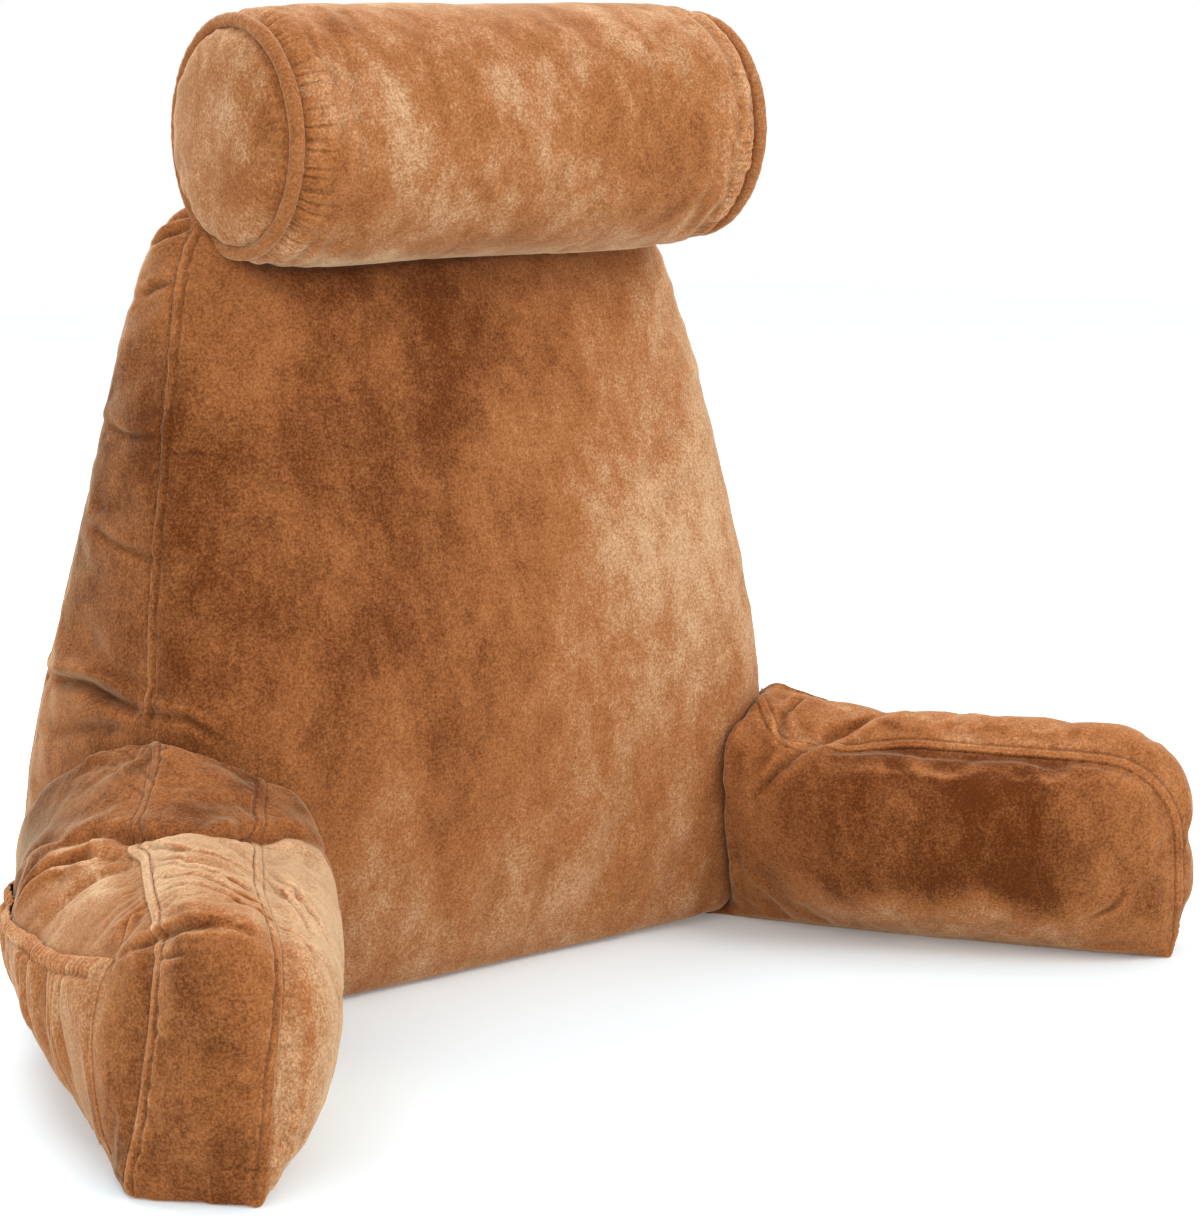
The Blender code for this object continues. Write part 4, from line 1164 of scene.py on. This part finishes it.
def make_pocket(side, arm, material):
    """The pocket's cloth: a grid laid on the arm's outer panel, lifted by its gathers, and made thick."""
    name = "pocket_" + SIDE_NAMES[side]
    deselect_all()
    bpy.ops.mesh.primitive_grid_add(x_subdivisions=POCKET_COLUMNS, y_subdivisions=POCKET_ROWS, size=1.0)
    piece = bpy.context.object
    piece.name = name + "_cloth"
    skin = skin_of(arm)
    hem_rise = 1 - HEM_HEIGHT / (POCKET_MOUTH[-1].height - POCKET_FOOT)
    flat = points_of(piece)
    shares, rises = flat[:, 0] + 0.5, flat[:, 1] + 0.5
    lifts = pocket_lift(shares, rises, hem_rise)
    outward = arm_place(side, 0, 1, 0) - arm_place(side, 0, 0, 0)
    points = []
    for share, rise, lift in zip(shares, rises, lifts):
        along, height = pocket_place(share, rise)
        start = arm_place(side, along, OUTSIDE, height)
        here, normal, _, _ = skin.ray_cast(start, -outward)
        points.append(here + (normal + outward).normalized() * lift)
    set_points(piece, np.array([tuple(point) for point in points]))
    make_active(piece)
    if side == LEFT:
        edit_all(bpy.ops.mesh.flip_normals)
    thick = piece.modifiers.new("cloth thickness", "SOLIDIFY")
    thick.thickness = CLOTH_THICKNESS
    thick.offset = 1.0
    apply_modifier(piece, thick)
    along, _, height = arm_coordinates(side, points_of(piece))
    # The pocket is painted darker low down towards its front and paler elsewhere.
    low_and_forward = ease(0.05, 0.25, along) * ease(0.10, 0.03, height)
    add_marks(piece, mix(0.25, -0.25, low_and_forward))
    finish_piece(piece, name, material)


def stitch_row(name, paths, material):
    """Rows of short stitches. One stitch is modelled and copied along each path."""
    deselect_all()
    bpy.ops.mesh.primitive_uv_sphere_add(segments=6, ring_count=5, radius=1.0)
    one = bpy.context.object
    corners = points_of(one)[:, [2, 0, 1]] * np.array((STITCH_LENGTH / 2, STITCH_RADIUS, STITCH_RADIUS))
    faces = [tuple(face.vertices) for face in one.data.polygons]
    bpy.data.objects.remove(one, do_unlink=True)
    points, polygons = [], []
    for path in paths:
        for run in np.arange(STITCH_PITCH, path.arc[-1] - STITCH_PITCH, STITCH_PITCH):
            index = int(np.searchsorted(path.arc, run))
            tangent, normal = path.tangents[index], path.normals[index]
            axes = np.array((tangent, np.cross(normal, tangent), normal))
            start = len(points) * len(corners)
            points.append(path.places[index] + corners @ axes)
            polygons += [tuple(start + corner for corner in face) for face in faces]
    mesh = bpy.data.meshes.new(name)
    mesh.from_pydata(np.concatenate(points).tolist(), [], polygons)
    finish_piece(new_object(name, mesh), None, material)


StitchPath = namedtuple("StitchPath", "places tangents normals arc")


def stitch_path(line, skin):
    """The path of a row of stitches beside a seam, laid on the finished cloth."""
    places, normals = [], []
    for place, aside in zip(line.places, line.sideways):
        here, normal, _, _ = skin.find_nearest(Vector(place + aside * STITCH_OFFSET))
        places.append(here[:])
        normals.append(normal[:])
    places = np.array(places)
    return StitchPath(places, unit(np.gradient(places, axis=0)), unit(np.array(normals)), arc_of(places))


# ---------------------------------------------------------------- stage
CAMERA_PLACE = Vector((-1.3679, -1.7988, 0.6000))
CAMERA_TURN = math.radians(40.93)
CAMERA_DIP = math.radians(8.70)
IMAGE_WIDTH, IMAGE_HEIGHT = 1200, 1216
FOCAL_PIXELS = 3158.17
IMAGE_CENTRE = (594.74, 602.03)
SENSOR = 36.0


def make_camera():
    lens = bpy.data.cameras.new("camera")
    camera = new_object("camera", lens)
    camera.location = CAMERA_PLACE
    camera.rotation_euler = (math.pi / 2 - CAMERA_DIP, 0.0, -CAMERA_TURN)
    lens.sensor_fit = "VERTICAL"
    lens.sensor_width = lens.sensor_height = SENSOR
    lens.lens = FOCAL_PIXELS / IMAGE_HEIGHT * SENSOR
    lens.shift_x = (IMAGE_WIDTH / 2 - IMAGE_CENTRE[0]) / IMAGE_HEIGHT
    lens.shift_y = -(IMAGE_HEIGHT / 2 - IMAGE_CENTRE[1]) / IMAGE_HEIGHT
    lens.clip_start = 0.05
    bpy.context.scene.camera = camera


WHITE = (1.0, 1.0, 1.0, 1.0)


def make_floor():
    deselect_all()
    bpy.ops.mesh.primitive_plane_add(size=14.0, location=(0, 0, 0))
    floor = bpy.context.object
    floor.name = "studio_floor"
    material, shader, _, _ = new_material("pale studio floor")
    give(shader, {"Base Color": (0.82, 0.93, 0.98, 1.0), "Roughness": 0.75})
    give(shader, {"Emission Color": WHITE, "Emission Strength": 0.15})
    floor.data.materials.append(material)


Lamp = namedtuple("Lamp", "name place aim size power colour")
LAMPS = (
    Lamp("key", (1.2, -2.5, 2.4), (0.0, -0.1, 0.30), 1.6, 43.0, (1.0, 0.99, 0.97)),
    Lamp("fill", (-2.8, -1.4, 1.5), (0.0, -0.1, 0.25), 2.2, 8.0, (0.98, 0.99, 1.0)),
    Lamp("top", (0.3, 1.4, 2.4), (0.0, 0.0, 0.40), 1.8, 56.0, (1.0, 1.0, 1.0)),
)


def make_lights():
    for lamp in LAMPS:
        light = bpy.data.lights.new(lamp.name, "AREA")
        light.energy = lamp.power
        light.size = lamp.size
        light.color = lamp.colour
        piece = new_object(lamp.name, light)
        piece.location = lamp.place
        piece.rotation_euler = (Vector(lamp.aim) - Vector(lamp.place)).to_track_quat("-Z", "Y").to_euler()
    world = bpy.data.worlds.new("studio")
    world.use_nodes = True
    give(world.node_tree.nodes["Background"], {"Color": WHITE, "Strength": 1.0})
    bpy.context.scene.world = world
    bpy.context.scene.view_settings.view_transform = "Standard"


# ---------------------------------------------------------------- build
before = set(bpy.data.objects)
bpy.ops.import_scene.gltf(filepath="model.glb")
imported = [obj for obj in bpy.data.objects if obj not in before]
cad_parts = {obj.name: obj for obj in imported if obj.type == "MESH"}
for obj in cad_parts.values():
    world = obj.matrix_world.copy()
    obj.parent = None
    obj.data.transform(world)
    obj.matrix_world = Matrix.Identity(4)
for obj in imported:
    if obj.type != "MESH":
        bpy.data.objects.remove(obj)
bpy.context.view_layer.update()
deselect_all()
make_camera()
make_floor()
make_lights()

nap_and_shade = velvet_group()
brown = velvet("velvet backrest", nap_and_shade, turn=0.3)
deep = velvet("velvet arms", nap_and_shade, turn=1.1)
light = velvet("velvet neck roll", nap_and_shade, turn=2.2, brushed=0.12, patches=1.4)
cord_cloth = velvet("velvet piping", nap_and_shade, turn=0.7, brushed=-0.05, patches=0.4)
thread = thread_material()

backrest, backrest_lines = make_backrest(brown)
front_stitches = stitch_path(backrest_lines[0], skin_of(backrest))
stitch_row("backrest_stitches", [front_stitches], thread)
for side in (LEFT, RIGHT):
    arm, arm_lines = make_arm(side, deep)
    arm_skin = skin_of(arm)
    make_pocket(side, arm, brown)
    paths = [stitch_path(line, arm_skin) for line in arm_lines]
    stitch_row("arm_" + SIDE_NAMES[side] + "_stitches", paths, thread)
make_roll(light)
for side in (LEFT, RIGHT):
    make_piping(side, cord_cloth)
